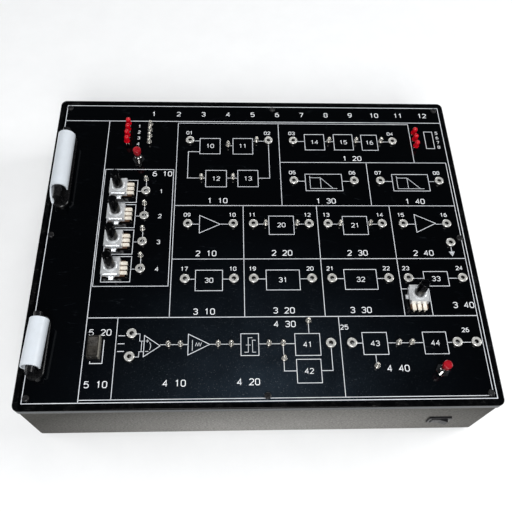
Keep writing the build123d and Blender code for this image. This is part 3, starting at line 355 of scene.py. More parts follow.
# %% Finishes by slot
finishes = {
    "tin": finish(
        "tin", (0.95, 0.91, 0.82), (0.82, 0.74, 0.62), rough=(0.3, 0.5), metallic=0.35, blotch=400.0,
        bump_strength=0.3,
    ),
    "zinc": finish("zinc", (0.5, 0.51, 0.53), (0.36, 0.36, 0.37), rough=(0.3, 0.5), metallic=1.0, blotch=300.0),
    "black_screw": finish(
        "black_screw", (0.006, 0.006, 0.007), (0.02, 0.02, 0.021), rough=(0.25, 0.45), metallic=0.3, blotch=500.0,
        scratch_amount=0.3, scratch_scale=200.0, scratch_colour=(0.3, 0.3, 0.3),
    ),
    "wafer": finish("wafer", (0.1, 0.05, 0.025), (0.06, 0.03, 0.016), rough=(0.45, 0.65), blotch=500.0),
    "knob_black": finish(
        "knob_black", (0.001, 0.0011, 0.0014), (0.0016, 0.0017, 0.0021), rough=(0.1, 0.14), grain_scale=60.0,
        bump_strength=0.0, Specular_IOR_Level=0.16,
    ),
    "red_cap": finish(
        "red_cap", (0.22, 0.003, 0.008), (0.34, 0.006, 0.014), rough=(0.16, 0.3), blotch=260.0, bump_strength=0.08,
        scratch_amount=0.55, scratch_scale=110.0, scratch_colour=(0.75, 0.35, 0.38),
    ),
    "sleeve_white": finish(
        "sleeve_white", (0.62, 0.665, 0.715), (0.57, 0.61, 0.65), rough=(0.3, 0.45), grain_scale=250.0,
        bump_strength=0.08, bump_height=0.0002, blotch=60.0, scratch_amount=0.25, scratch_scale=50.0,
        scratch_colour=(0.4, 0.38, 0.34),
    ),
    "grip_plastic": finish(
        "grip_plastic", (0.003, 0.003, 0.0035), (0.006, 0.006, 0.007), rough=(0.2, 0.34), dust_amount=0.02,
        Specular_IOR_Level=0.35,
    ),
    "brown_plastic": finish(
        "brown_plastic", (0.014, 0.0125, 0.0105), (0.04, 0.036, 0.031), rough=(0.16, 0.28), blotch=190.0,
        dust_amount=0.06, dust_scale=160.0,
    ),
    "black_plastic": finish(
        "black_plastic", (0.003, 0.003, 0.0035), (0.006, 0.006, 0.007), rough=(0.3, 0.5), grain_scale=700.0,
        Specular_IOR_Level=0.3,
    ),
    "bush_metal": finish(
        "bush_metal", (0.5, 0.49, 0.48), (0.26, 0.255, 0.25), rough=(0.05, 0.12), metallic=1.0, blotch=300.0,
    ),
    "board": finish("board", (0.02, 0.13, 0.05), (0.015, 0.1, 0.035), rough=(0.25, 0.4), blotch=90.0),
    "chip": finish("chip", (0.015, 0.015, 0.016), (0.03, 0.03, 0.03), rough=(0.5, 0.7)),
    "capacitor": finish("capacitor", (0.015, 0.02, 0.07), (0.02, 0.03, 0.1), rough=(0.2, 0.35)),
    "sink": finish("sink", (0.55, 0.55, 0.57), (0.45, 0.45, 0.47), rough=(0.3, 0.5), metallic=1.0),
    "core_steel": finish("core_steel", (0.07, 0.07, 0.075), (0.12, 0.11, 0.1), rough=(0.4, 0.6), metallic=0.6),
    "coil_tape": finish("coil_tape", (0.55, 0.4, 0.06), (0.48, 0.34, 0.05), rough=(0.3, 0.5)),
    "ribbon": finish("ribbon", (0.4, 0.4, 0.41), (0.34, 0.34, 0.35), rough=(0.4, 0.55)),
    "brass": finish("brass", (0.6, 0.42, 0.16), (0.45, 0.3, 0.1), rough=(0.2, 0.4), metallic=1.0),
    "spring_steel": finish("spring_steel", (0.5, 0.5, 0.5), (0.4, 0.4, 0.4), rough=(0.2, 0.35), metallic=1.0),
    "rubber": finish("rubber", (0.02, 0.02, 0.02), (0.03, 0.03, 0.03), rough=(0.7, 0.9), grain_scale=700.0),
}
print(len(finishes), "finishes")

# %% [markdown]
# ### The panel
#
# The panel is glossy black.  Handling has left a thin bluish film on it that is thickest toward the middle of
# the front edge, with specks of dust in it and fine scratches.  A spherical gradient, one at its centre and
# zero at a distance of one, is stretched over the panel to say where the film lies.  Raised to a power, it
# keeps its middle and falls off sooner, as a film does where hands seldom reach.

# %% Black gloss under a film of dust
film_middle = (0.0, -0.175)
film_reach = (0.26, 0.24)
panel_material = bpy.data.materials.new("panel")
panel_material.use_nodes = True
tree = panel_material.node_tree
shader = tree.nodes["Principled BSDF"]
shader.inputs["Specular IOR Level"].default_value = 0.25
coords = add(tree, "ShaderNodeTexCoord")
centred = add(tree, "ShaderNodeMapping")
centred.inputs["Location"].default_value = (-film_middle[0] / film_reach[0], -film_middle[1] / film_reach[1], 0.0)
centred.inputs["Scale"].default_value = (1 / film_reach[0], 1 / film_reach[1], 0.0)
nearness = add(tree, "ShaderNodeTexGradient", gradient_type="SPHERICAL")
cloud = add(tree, "ShaderNodeTexNoise", Scale=22.0, Detail=6.0, Roughness=0.65)
cloud_range = add(tree, "ShaderNodeMapRange", From_Min=0.3, From_Max=0.7, To_Min=0.55, To_Max=1.15)
falloff = add(tree, "ShaderNodeMath", operation="POWER")
falloff.inputs[1].default_value = 3.0
film = add(tree, "ShaderNodeMath", operation="MULTIPLY", use_clamp=True)
speck = add(tree, "ShaderNodeTexNoise", Scale=1500.0, Detail=1.0)
speck_range = add(tree, "ShaderNodeMapRange", From_Min=0.7, From_Max=0.78)
specks = add(tree, "ShaderNodeMath", operation="MULTIPLY", use_clamp=True)
marks = use_group(tree, scratches, Amount=0.07, Scale=14.0)
gloss = add(tree, "ShaderNodeMapRange", To_Min=0.06, To_Max=0.2)
fine = use_group(tree, grain, Scale=40.0, Strength=0.02, Height=0.0001)
join(tree, coords, "Object", centred, "Vector")
join(tree, centred, "Vector", nearness, "Vector")
join(tree, coords, "Object", cloud, "Vector")
join(tree, cloud, "Fac", cloud_range, "Value")
join(tree, nearness, "Fac", falloff, 0)
join(tree, falloff, "Value", film, 0)
join(tree, cloud_range, "Result", film, 1)
join(tree, coords, "Object", speck, "Vector")
join(tree, speck, "Fac", speck_range, "Value")
join(tree, speck_range, "Result", specks, 0)
join(tree, film, "Value", specks, 1)
filmed = mix_colour(tree, (film, "Value"), (0.0004, 0.0006, 0.001, 1.0), (0.016, 0.024, 0.034, 1.0))
dusty = mix_colour(tree, (specks, "Value"), filmed, (0.3, 0.32, 0.35, 1.0))
worn = mix_colour(tree, (marks, "Mask"), dusty, (0.1, 0.12, 0.14, 1.0))
join(tree, film, "Value", gloss, "Value")
tree.links.new(worn.outputs[2], shader.inputs["Base Color"])
join(tree, gloss, "Result", shader, "Roughness")
join(tree, fine, "Normal", shader, "Normal")
finishes["panel"] = panel_material
print("the film reaches", film_reach, "m from", film_middle)

# %% [markdown]
# ### The case
#
# The walls of the case are a sandy grey-brown moulding.  They are painted paler low down and toward the middle,
# where more light falls on them, and the lip round the panel is painted glossy black with a band of painted light
# across its face.  One material does it all: masks on the height of a point, from its object coordinates, tell lip
# from wall, and a spherical gradient stretched along the case says how much painted light the wall gets.

# %% Sandy walls and a glossy lip
lip_low = rim_top - 8.2 * MM
# Painted light: a band across the lip's face is painted lighter where it catches light from the paper.
lit_lip_band_middle = rim_top - 3.8 * MM
lit_lip_band_half = 1.9 * MM
lip_blur = 0.05 * MM
# Painted light: this gradient makes the wall paler low down and toward the middle, where more light falls on it.
wall_light_middle = (0.02, 0.0, 0.005)
wall_light_reach = (0.25, 0.6, 0.115)
case_material = bpy.data.materials.new("case_paint")
case_material.use_nodes = True
tree = case_material.node_tree
shader = tree.nodes["Principled BSDF"]
coords = add(tree, "ShaderNodeTexCoord")
height = add(tree, "ShaderNodeSeparateXYZ")
on_lip = add(tree, "ShaderNodeMapRange", From_Min=lip_low - lip_blur, From_Max=lip_low + lip_blur)
sand = add(tree, "ShaderNodeTexNoise", Scale=520.0, Detail=3.0, Roughness=0.75)
sand_range = add(tree, "ShaderNodeMapRange", From_Min=0.36, From_Max=0.64)
stain = add(tree, "ShaderNodeTexNoise", Scale=14.0, Detail=4.0, Roughness=0.6)
stain_range = add(tree, "ShaderNodeMapRange", From_Min=0.3, From_Max=0.7, To_Max=0.25)
along_case = add(tree, "ShaderNodeMapping")
along_case.inputs["Location"].default_value = [-m / r for m, r in zip(wall_light_middle, wall_light_reach)]
along_case.inputs["Scale"].default_value = [1 / r for r in wall_light_reach]
painted_wall_light = add(tree, "ShaderNodeTexGradient", gradient_type="SPHERICAL")
on_lit_lip_band = add(tree, "ShaderNodeMath", operation="COMPARE")
on_lit_lip_band.inputs[1].default_value = lit_lip_band_middle
on_lit_lip_band.inputs[2].default_value = lit_lip_band_half
rub = use_group(tree, scratches, Amount=0.25, Scale=60.0)
wear = use_group(tree, dust, Amount=0.02, Scale=90.0)
join(tree, coords, "Object", height, "Vector")
join(tree, height, "Z", on_lip, "Value")
join(tree, coords, "Object", sand, "Vector")
join(tree, sand, "Fac", sand_range, "Value")
join(tree, coords, "Object", stain, "Vector")
join(tree, stain, "Fac", stain_range, "Value")
join(tree, coords, "Object", along_case, "Vector")
join(tree, along_case, "Vector", painted_wall_light, "Vector")
join(tree, height, "Z", on_lit_lip_band, 0)
# The shaded and the lit tone of the sandy grains, mixed by the painted light on the wall.
shaded_grains = mix_colour(tree, (sand_range, "Result"), (0.026, 0.025, 0.022, 1.0), (0.074, 0.072, 0.066, 1.0))
lit_grains = mix_colour(tree, (sand_range, "Result"), (0.25, 0.245, 0.232, 1.0), (0.5, 0.49, 0.465, 1.0))
grains = mix_colour(tree, (painted_wall_light, "Fac"), shaded_grains, lit_grains)
stained = mix_colour(tree, (stain_range, "Result"), grains, (0.1, 0.095, 0.088, 1.0))
# Black lip paint, lighter across the face band as painted light.
lip_paint_and_light = mix_colour(tree, (on_lit_lip_band, "Value"), (0.0008, 0.0009, 0.0012, 1.0), (0.022, 0.029, 0.037, 1.0))
lip_rubbed = mix_colour(tree, (rub, "Mask"), lip_paint_and_light, (0.2, 0.2, 0.19, 1.0))
lip_dusty = mix_colour(tree, (wear, "Mask"), lip_rubbed, (0.2, 0.2, 0.2, 1.0))
both_tones = mix_colour(tree, (on_lip, "Result"), stained, lip_dusty)
lip_gloss = add(tree, "ShaderNodeMapRange", To_Min=0.62, To_Max=0.12)
shine = add(tree, "ShaderNodeMapRange", To_Min=0.03, To_Max=0.08)
join(tree, on_lip, "Result", shine, "Value")
join(tree, shine, "Result", shader, "Specular IOR Level")
join(tree, on_lip, "Result", lip_gloss, "Value")
tooth = add(tree, "ShaderNodeMapRange", To_Min=0.7, To_Max=0.02)
join(tree, on_lip, "Result", tooth, "Value")
fine = use_group(tree, grain, Scale=900.0, Height=0.0003)
join(tree, tooth, "Result", fine, "Strength")
tree.links.new(both_tones.outputs[2], shader.inputs["Base Color"])
join(tree, lip_gloss, "Result", shader, "Roughness")
join(tree, fine, "Normal", shader, "Normal")
finishes["case_paint"] = case_material
print("the lip starts at", round(lip_low / MM, 1), "mm")

# %% [markdown]
# ### Galvanised sheet
#
# The square covers of the potentiometers are zinc-dipped steel.  Its crystals show as small facets that each
# shine a little differently, so a Voronoi pattern sets both the tone and the roughness of each cell.

# %% Galvanised sheet
cells_per_metre = 420.0
galvanised = bpy.data.materials.new("galvanised")
galvanised.use_nodes = True
tree = galvanised.node_tree
shader = tree.nodes["Principled BSDF"]
shader.inputs["Metallic"].default_value = 0.62
coords = add(tree, "ShaderNodeTexCoord")
cells = add(tree, "ShaderNodeTexVoronoi", Scale=cells_per_metre)
tone = add(tree, "ShaderNodeSeparateColor")
sheen = add(tree, "ShaderNodeMapRange", To_Min=0.28, To_Max=0.38)
fine = use_group(tree, grain, Scale=900.0, Strength=0.12, Height=0.0001)
join(tree, coords, "Object", cells, "Vector")
join(tree, cells, "Color", tone, 0)
join(tree, tone, 0, sheen, "Value")
tint = mix_colour(tree, (tone, 1), (0.84, 0.86, 0.88, 1.0), (0.9, 0.915, 0.93, 1.0))
tree.links.new(tint.outputs[2], shader.inputs["Base Color"])
join(tree, sheen, "Result", shader, "Roughness")
join(tree, fine, "Normal", shader, "Normal")
finishes["galvanised"] = galvanised
print("galvanised cells are about", round(1 / cells_per_metre / MM, 1), "mm wide")

# %% [markdown]
# ### Nickel
#
# Sockets and pins are nickel-plated.  A socket's bore swallows the light, so shade is painted on the plating from
# two millimetres over the panel's surface down, which also darkens the pins' collars, apart from a band where the
# contact in the bore still catches a painted glint.  The height of a point tells how deep it lies.

# %% Nickel, shaded in the bores
bore_shade = (panel_top + 1.0 * MM, panel_top + 2.0 * MM)
glint_middle = panel_top - 2.3 * MM
glint_half = 0.9 * MM


def plated(name, bright, dim, rough, metallic):
    """Nickel of two tones with painted shade from just over the panel's surface down, apart from the painted glint.
    """
    material = finish(
        name, bright, dim, rough=rough, metallic=metallic, blotch=260.0, bump_strength=0.08, grain_scale=1800.0,
    )
    tree = material.node_tree
    shader = tree.nodes["Principled BSDF"]
    plating = shader.inputs["Base Color"].links[0].from_node
    coords = add(tree, "ShaderNodeTexCoord")
    height = add(tree, "ShaderNodeSeparateXYZ")
    in_light = add(tree, "ShaderNodeMapRange", From_Min=bore_shade[0], From_Max=bore_shade[1])
    glint = add(tree, "ShaderNodeMath", operation="COMPARE")
    glint.inputs[1].default_value = glint_middle
    glint.inputs[2].default_value = glint_half
    glint_dim = add(tree, "ShaderNodeMath", operation="MULTIPLY")
    glint_dim.inputs[1].default_value = 0.45
    lit = add(tree, "ShaderNodeMath", operation="MAXIMUM")
    join(tree, coords, "Object", height, "Vector")
    join(tree, height, "Z", in_light, "Value")
    join(tree, height, "Z", glint, 0)
    join(tree, glint, "Value", glint_dim, 0)
    join(tree, in_light, "Result", lit, 0)
    join(tree, glint_dim, "Value", lit, 1)
    shaded = mix_colour(tree, (lit, "Value"), (0.012, 0.012, 0.014, 1.0), plating)
    tree.links.new(shaded.outputs[2], shader.inputs["Base Color"])
    return material


finishes["nickel"] = plated("nickel", (0.96, 0.95, 0.92), (0.8, 0.79, 0.74), (0.18, 0.32), 0.65)
pin_nickel = plated("pin_nickel", (0.97, 0.95, 0.9), (0.58, 0.56, 0.51), (0.14, 0.28), 0.8)
print("shaded from", round((bore_shade[0] - panel_top) / MM, 1), "mm over the panel down")

# %% [markdown]
# ### The selector's housing
#
# The rocker that picks the clock sits in a frame of smoky plastic.  Its right edge catches the light, and that
# highlight is painted: a mask on the place across the frame draws a paler strip there.

# %% Smoky frame with a painted highlight on its right edge
frame_low, frame_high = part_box("selector_housing")
# Painted highlight: the strip along the right edge, 1.4 mm wide, is paler where the edge catches the light.
highlight_edge = frame_high[0] - 1.4 * MM
smoky_frame_highlit = finish(
    "smoky_frame_highlit", (0.012, 0.0115, 0.01), (0.03, 0.028, 0.024), rough=(0.16, 0.28), blotch=190.0, dust_amount=0.06,
    dust_scale=160.0,
)
tree = smoky_frame_highlit.node_tree
shader = tree.nodes["Principled BSDF"]
smoke = shader.inputs["Base Color"].links[0].from_node
coords = add(tree, "ShaderNodeTexCoord")
across = add(tree, "ShaderNodeSeparateXYZ")
on_highlight = add(tree, "ShaderNodeMapRange", From_Min=highlight_edge - 0.2 * MM, From_Max=highlight_edge + 0.2 * MM, To_Max=0.8)
join(tree, coords, "Object", across, "Vector")
join(tree, across, "X", on_highlight, "Value")
highlighted = mix_colour(tree, (on_highlight, "Result"), smoke, (0.2, 0.19, 0.165, 1.0))
tree.links.new(highlighted.outputs[2], shader.inputs["Base Color"])
print("frame is", round((frame_high[0] - frame_low[0]) / MM, 1), "mm wide")

# %% [markdown]
# ### Lamps
#
# A lamp is epoxy tinted a deep red, with a smooth skin that mirrors the lights as small bright spots.

# %% Lamp epoxy
finishes["red_lamp"] = finish(
    "red_lamp", (0.4, 0.0008, 0.006), (0.6, 0.0015, 0.012), rough=(0.08, 0.16), blotch=300.0, bump_strength=0.03,
    Specular_IOR_Level=0.35,
)
print(len(finishes), "finishes by slot")

# %% Give each node the finish of its slot, apart from three with their own
slot_of = {part["node"]: part["material_slot"] for part in frame["record"]["subparts"]}
own_finish = {"test_pins": pin_nickel, "button_nuts": finishes["bush_metal"], "selector_housing": smoky_frame_highlit}
for node, obj in frame["nodes"].items():
    obj.data.materials.clear()
    obj.data.materials.append(own_finish.get(node, finishes[slot_of[node]]))
print("finished", len(slot_of), "nodes")

# %% [markdown]
# ## The printed diagram
#
# The diagram is pale ink on the black panel.  A printed line is a raised strip a few hundredths of a
# millimetre thick.  Each strip is a path of points with a small rectangle carried along it; at a corner the
# rectangle turns by half the corner's angle, so that the strip keeps its width.

# %% Strips of ink
ink_height = 0.06 * MM
ink_sink = 0.01 * MM


def strip(points, width, closed=False):
    """Vertices and faces of one strip along points in mm.

    At each point the sideways direction is the sum of the two neighbouring segments' normals, divided by
    one plus their dot product, which is the mitre.  Each point gives four vertices: left low, left high,
    right high, right low.
    """
    path = np.asarray(points, float) * MM
    ahead = np.roll(path, -1, axis=0) - path
    behind = path - np.roll(path, 1, axis=0)
    if not closed:
        ahead[-1] = behind[-1]
        behind[0] = ahead[0]
    ahead /= np.linalg.norm(ahead, axis=1, keepdims=True)
    behind /= np.linalg.norm(behind, axis=1, keepdims=True)
    normal_ahead = np.stack([-ahead[:, 1], ahead[:, 0]], axis=1)
    normal_behind = np.stack([-behind[:, 1], behind[:, 0]], axis=1)
    turn = 1.0 + np.sum(normal_ahead * normal_behind, axis=1, keepdims=True)
    side = (normal_ahead + normal_behind) / np.maximum(turn, 0.3) * (width * MM / 2)
    low, high = panel_top - ink_sink, panel_top + ink_height
    ring = np.empty((len(path), 4, 3))
    ring[:, 0:2, :2] = (path + side)[:, None]
    ring[:, 2:4, :2] = (path - side)[:, None]
    ring[:, [0, 3], 2] = low
    ring[:, [1, 2], 2] = high
    count = len(path)
    start = np.arange(count if closed else count - 1)
    following = (start + 1) % count
    around = np.arange(4)
    quads = np.stack([
        start[:, None] * 4 + around,
        start[:, None] * 4 + (around + 1) % 4,
        following[:, None] * 4 + (around + 1) % 4,
        following[:, None] * 4 + around,
    ], axis=2).reshape(-1, 4)
    if not closed:
        last = (count - 1) * 4
        quads = np.vstack([quads, [[3, 2, 1, 0]], [[last, last + 1, last + 2, last + 3]]])
    return ring.reshape(-1, 3), quads


def mesh_from(parts, name):
    """One mesh from several (vertices, quads) pairs."""
    vertices, faces, total = [], [], 0
    for points, quads in parts:
        vertices.append(points)
        faces.append(quads + total)
        total += len(points)
    mesh = bpy.data.meshes.new(name)
    mesh.from_pydata(np.vstack(vertices).tolist(), [], np.vstack(faces).tolist())
    mesh.validate()
    return mesh


print("ink stands", round(ink_height / MM, 2), "mm above the panel")

# %% [markdown]
# The diagram has a border, dividing lines between the circuit blocks, and in each block the wires from socket
# to socket with a box or a triangle between them.  The sockets and pins already stand in the solid model, so
# the rows of the diagram are written once here, as heights on the panel, and every wire lies on its row.

# %% Rows and columns of the diagram, in mm from the middle of the panel
border_ink = 0.68
wire_ink = 0.58
fine_ink = 0.45

left_edge, right_edge = -204.3, 206.0
front_edge, back_edge = -165.5, 165.0
title_y = 143.7
strip_x = -157.0
circuit_left = -83.0
circuit_back = title_y - 2.3
demodulator_front = 89.0
filters_front = 34.5
buffers_front = -26.8
companders_front = -87.3
demodulator_left = 25.6
inner_right = 203.0
inner_front = -163.0

modulator_row = 117.0
lower_modulator_row = 68.4
filter_row = 64.8
buffer_row = 12.5
compander_row = -48.4
lower_row = -113.6
clock_rows = [51.6 - 29.7 * place for place in range(4)]
modulator_sockets = (-69.5, 14.2, 40.8, 148.7)
filter_sockets = (39.0, 102.0, 129.4, 191.5)
buffer_sockets = (-69.0, -24.0, -4.0, 51.5, 70.5, 125.0, 146.5, 190.5)
compander_sockets = (-70.0, -23.7, -5.0, 50.4, 69.7, 124.3, 143.2, 195.7)
print("rows at", modulator_row, filter_row, buffer_row, compander_row, lower_row)

# %% Border and dividing lines
ink = []


def line(*points, width=wire_ink, closed=False):
    """Adds one inked path to the print."""
    ink.append(strip(points, width, closed))


line((left_edge, front_edge), (right_edge, front_edge), (right_edge, back_edge), (left_edge, back_edge),
     width=border_ink, closed=True)
line((left_edge, title_y), (right_edge, title_y), width=border_ink)
line((circuit_left, circuit_back), (169.2, circuit_back), (169.2, demodulator_front))
line((strip_x, title_y), (strip_x, front_edge), width=border_ink)
line((strip_x, inner_front), (inner_right, inner_front), (inner_right, demodulator_front))
line((circuit_left, circuit_back), (circuit_left, companders_front))
line((circuit_left, filters_front), (inner_right, filters_front))
line((demodulator_left, circuit_back), (demodulator_left, filters_front))
line((demodulator_left, demodulator_front), (inner_right, demodulator_front))
line((117.2, demodulator_front), (117.2, filters_front))
line((circuit_left, buffers_front), (inner_right, buffers_front))
line((strip_x, companders_front), (inner_right, companders_front), width=border_ink)
for column in (-14.0, 60.4, 135.0):
    line((column, filters_front), (column, companders_front))
for column in (-129.3, 72.5):
    line((column, companders_front), (column, inner_front))
print(len(ink), "border and dividing lines")

# %% [markdown]
# Boxes, triangles and wires come next.  A wire is broken where it passes under a socket or a pin, but those
# stand on top of it and hide it there, so it is drawn whole.

# %% Boxes, triangles and arcs
def block(left, top, wide, high):
    """A rectangle of ink; returns its left and right edges for the wires to meet."""
    line((left, top), (left + wide, top), (left + wide, top - high), (left, top - high), closed=True)
    return left, left + wide


def amplifier(left, middle, wide, high):
    """A triangle of ink that points right."""
    line((left, middle + high / 2), (left + wide, middle), (left, middle - high / 2), closed=True)


def arc(centre, radius, start, stop, count=12):
    """Points on an arc, angles in degrees, anticlockwise from +X."""
    angles = np.radians(np.linspace(start, stop, count))
    return np.stack([centre[0] + radius * np.cos(angles), centre[1] + radius * np.sin(angles)], axis=1)


def wire(row, *ends):
    """Wires along one row, from each even end to the odd one after it."""
    for begin, stop in zip(ends[::2], ends[1::2]):
        line((begin, row), (stop, row))


# %% The blocks of the modulator and the demodulator
block(-59.0, 120.4, 21.5, 20.6)
block(-23.8, 120.6, 21.0, 21.0)
block(-52.2, 78.2, 21.4, 20.8)
block(-19.0, 78.4, 21.0, 20.8)
wire(modulator_row, modulator_sockets[0], -59.0, -2.8, modulator_sockets[1])
wire(110.7, -29.0, -23.8)
line((-59.0, 102.5), (-71.0, 102.5), (-71.0, lower_modulator_row), (-52.2, lower_modulator_row))
wire(lower_modulator_row, -30.8, -19.0)
line((2.0, lower_modulator_row), (modulator_sockets[1], lower_modulator_row), (modulator_sockets[1], modulator_row))
block(53.5, 126.6, 21.1, 21.0)
block(85.1, 126.8, 20.5, 21.0)
block(115.2, 126.3, 17.2, 20.7)
wire(modulator_row, modulator_sockets[2], 53.5, 74.6, 85.1, 105.6, 115.2, 132.4, modulator_sockets[3])
print(len(ink), "paths with the modulator and the demodulator")

# %% Filters: a box with the curve of a low-pass filter on its axes
for left in (51.2, 142.6):
    block(left, 73.8, 38.2, 20.9)
    line((left + 4.8, 71.5), (left + 4.8, 55.7), (left + 32.5, 55.7), width=fine_ink)
    line((left + 4.8, 69.2), (left + 15.8, 69.2), (left + 28.5, 55.7), width=fine_ink)
    line((left + 15.8, 69.2), (left + 15.8, 55.7), width=fine_ink)
wire(filter_row, filter_sockets[0], 51.2, 89.4, filter_sockets[1])
wire(filter_row, filter_sockets[2], 142.6, 180.8, filter_sockets[3])

# %% Buffers, coders and the row below them
amplifier(-57.5, buffer_row, 20.5, 20.5)
amplifier(159.4, buffer_row + 1.0, 20.5, 21.0)
block(11.5, 22.0, 24.8, 21.4)
block(85.7, 21.7, 24.7, 21.2)
buffer_blocks = ((-57.5, -37.0), (11.5, 36.3), (85.7, 110.4), (159.4, 179.9))
compander_blocks = ((-60.1, -34.5), (7.0, 38.9), (81.8, 113.0), (158.7, 182.2))
for row, places, blocks in (
    (buffer_row, buffer_sockets, buffer_blocks), (compander_row, compander_sockets, compander_blocks),
):
    for place, (left, right) in enumerate(blocks):
        wire(row, places[2 * place], left, right, places[2 * place + 1])
ground_x = 190.8
line((ground_x, -9.4), (ground_x, -19.4))
line((ground_x - 2.4, -19.4), (ground_x, -23.6), (ground_x + 2.4, -19.4), closed=True)
line((ground_x - 1.0, -20.0), (ground_x + 1.0, -20.0), (ground_x, -21.8), closed=True)
block(-60.1, -38.9, 25.6, 21.6)
block(7.0, -38.9, 31.9, 21.1)
block(81.8, -38.6, 31.2, 21.2)
block(158.7, -41.1, 23.5, 15.5)

# %% The lower circuit: comparator, integrator, threshold and latches
amplifier(-104.2, -114.7, 14.4, 20.0)
line((-115.6, -103.1), (-108.3, -103.1), (-108.3, -110.0), (-104.2, -110.0), width=fine_ink)
line((-116.2, -124.9), (-108.3, -124.9), (-108.3, -120.0), (-104.2, -120.0), width=fine_ink)
line((-106.4, -110.0), (-106.4, -120.0), width=fine_ink)
line((-102.8, -110.0), (-100.0, -110.0), width=fine_ink)
line((-101.4, -108.6), (-101.4, -111.4), width=fine_ink)
line((-102.8, -119.8), (-100.0, -119.8), width=fine_ink)
line(*arc((-104.6, -115.0), 6.4, -32, 34, 7), width=fine_ink)
amplifier(-65.0, lower_row, 19.3, 19.8)
line((-61.2, -119.6), (-61.2, -109.4), width=fine_ink)
line(*[(-58.6 + 1.1 * i, lower_row + (1.6 if i % 2 else -1.6)) for i in range(6)], width=fine_ink)
block(-17.8, -103.7, 16.0, 20.7)
line((-14.6, -121.3), (-11.2, -121.3), (-11.2, -107.6), (-7.4, -107.6), width=fine_ink)
line((-13.4, -114.5), (-8.9, -114.5), width=fine_ink)
line((-4.4, -121.3), (-7.4, -121.3), (-7.4, -110.0), (-4.4, -110.0), width=fine_ink)
block(31.1, -104.0, 22.7, 20.8)
block(31.4, -128.4, 21.8, 21.6)
block(92.6, -103.4, 22.6, 21.1)
block(148.4, -103.4, 21.7, 21.0)
wire(lower_row, -89.8, -65.0, -45.7, -17.8, -1.8, 31.1, 82.5, 92.6, 115.2, 148.4, 170.1, 196.6)
line((20.3, lower_row), (20.3, -139.0), (31.4, -139.0))
line((53.2, -139.0), (63.4, -139.0), (63.4, lower_row))
line((44.2, -91.8), (44.2, -104.0))
line((103.1, -124.5), (103.1, -135.5))

# %% The clock corner, the frames beside the knobs and the lamp window
line((-155.5, 79.0), (-85.5, 79.0), (-85.5, -55.5), (-155.5, -55.5), closed=True)
knob_left, knob_right = -148.7, -121.5
for clock_row in clock_rows:
    behind, before = clock_row + 13.6, clock_row - 13.5
    line((knob_left, behind), (knob_right, behind), (knob_right, before), (knob_left, before), closed=True)
    line((knob_right, clock_row), (-112.5, clock_row), (-112.8, clock_row + 14.0))
line((-139.8, -108.6), (-139.8, -130.5), (-150.5, -130.5), (-150.5, -128.5), width=border_ink)
line((135.0, -59.5), (161.4, -59.5), (161.4, companders_front))
for row in (-104.8, -112.4, -119.6):
    line((-127.5, row), (-121.5, row), width=border_ink)
line((185.5, 131.2), (194.5, 131.2), (194.5, 108.3), (185.5, 108.3), closed=True)
print(len(ink), "inked paths in all")

# %% Make the print one piece and ink it
diagram = new_object("printed_diagram", mesh_from(ink, "printed_diagram"))
line_ink = finish(
    "line_ink", (0.72, 0.74, 0.77), (0.56, 0.58, 0.62), rough=(0.45, 0.6), grain_scale=1500.0, bump_strength=0.1,
    blotch=120.0,
)
diagram.data.materials.append(line_ink)
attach(diagram, "instrument")
print("print has", len(diagram.data.polygons), "faces")

# %% [markdown]
# ## Numbers
#
# Each block and most sockets have a plain number.  A number is a row of digits, and each digit is a few
# strokes of a plotter's pen, so the same strips of ink draw them.  The digits are drawn on a grid that is one
# unit wide and one and a half units high.

# %% Digits as pen strokes
corner = 0.24


def pen_oval(low, high):
    """A closed rounded loop between two heights of the digit's box."""
    return [
        (corner, high), (1 - corner, high), (1, high - corner), (1, low + corner), (1 - corner, low), (corner, low),
        (0, low + corner), (0, high - corner),
    ], True


tall = 1.5
half_up = 0.8
digit_strokes = {
    "0": [pen_oval(0.0, tall)],
    "1": [([(0.2, 1.2), (0.55, tall), (0.55, 0.0)], False)],
    "2": [([(0.0, 1.25), (0.25, tall), (0.75, tall), (1.0, 1.25), (1.0, 0.95), (0.0, 0.0), (1.0, 0.0)], False)],
    "3": [([(0.0, 1.3), (0.25, tall), (0.75, tall), (1.0, 1.25), (1.0, 1.0), (0.7, half_up), (0.4, half_up)], False),
          ([(0.7, half_up), (1.0, 0.55), (1.0, 0.25), (0.75, 0.0), (0.25, 0.0), (0.0, 0.22)], False)],
    "4": [([(0.75, 0.0), (0.75, tall), (0.0, 0.45), (1.0, 0.45)], False)],
    "5": [([(0.95, tall), (0.1, tall), (0.0, 0.85), (0.3, 0.98), (0.7, 0.95), (1.0, 0.7), (1.0, 0.25), (0.72, 0.0),
            (0.25, 0.0), (0.0, 0.2)], False)],
    "6": [pen_oval(0.0, 0.9), ([(0.0, 0.6), (0.05, 1.1), (0.35, 1.42), (0.85, tall)], False)],
    "7": [([(0.0, tall), (1.0, tall), (0.4, 0.0)], False)],
    "8": [pen_oval(0.0, half_up), pen_oval(half_up, tall)],
    "9": [pen_oval(0.6, tall), ([(1.0, 0.9), (0.95, 0.4), (0.65, 0.08), (0.15, 0.0)], False)],
}
letters = []
digit_pitch = 1.45


def number(text, middle, high=4.2, ink_width=0.55):
    """Writes a row of digits centred on a point; high is the digit's height in mm."""
    unit = high / tall
    pitch = unit * digit_pitch
    start = middle[0] - (len(text) - 1) * pitch / 2 - unit / 2
    for place, character in enumerate(text):
        if character == " ":
            continue
        for stroke, closed in digit_strokes[character]:
            points = np.asarray(stroke) * unit + (start + place * pitch, middle[1] - high / 2)
            letters.append(strip(points, ink_width, closed))


# %% Numbers beside the sockets
label_up = 11.0
socket_digits = 3.8
sockets = {
    modulator_row: modulator_sockets,
    filter_row: filter_sockets,
    buffer_row: buffer_sockets,
    compander_row: compander_sockets,
}
count = 0
for row, places in sockets.items():
    for place in places:
        count += 1
        number(f"{count:02d}", (place - 1.0, row + label_up), high=socket_digits)
number("25", (77.0, -98.0))
number("26", (189.0, -101.5), high=socket_digits)
print("numbered", count + 2, "sockets")

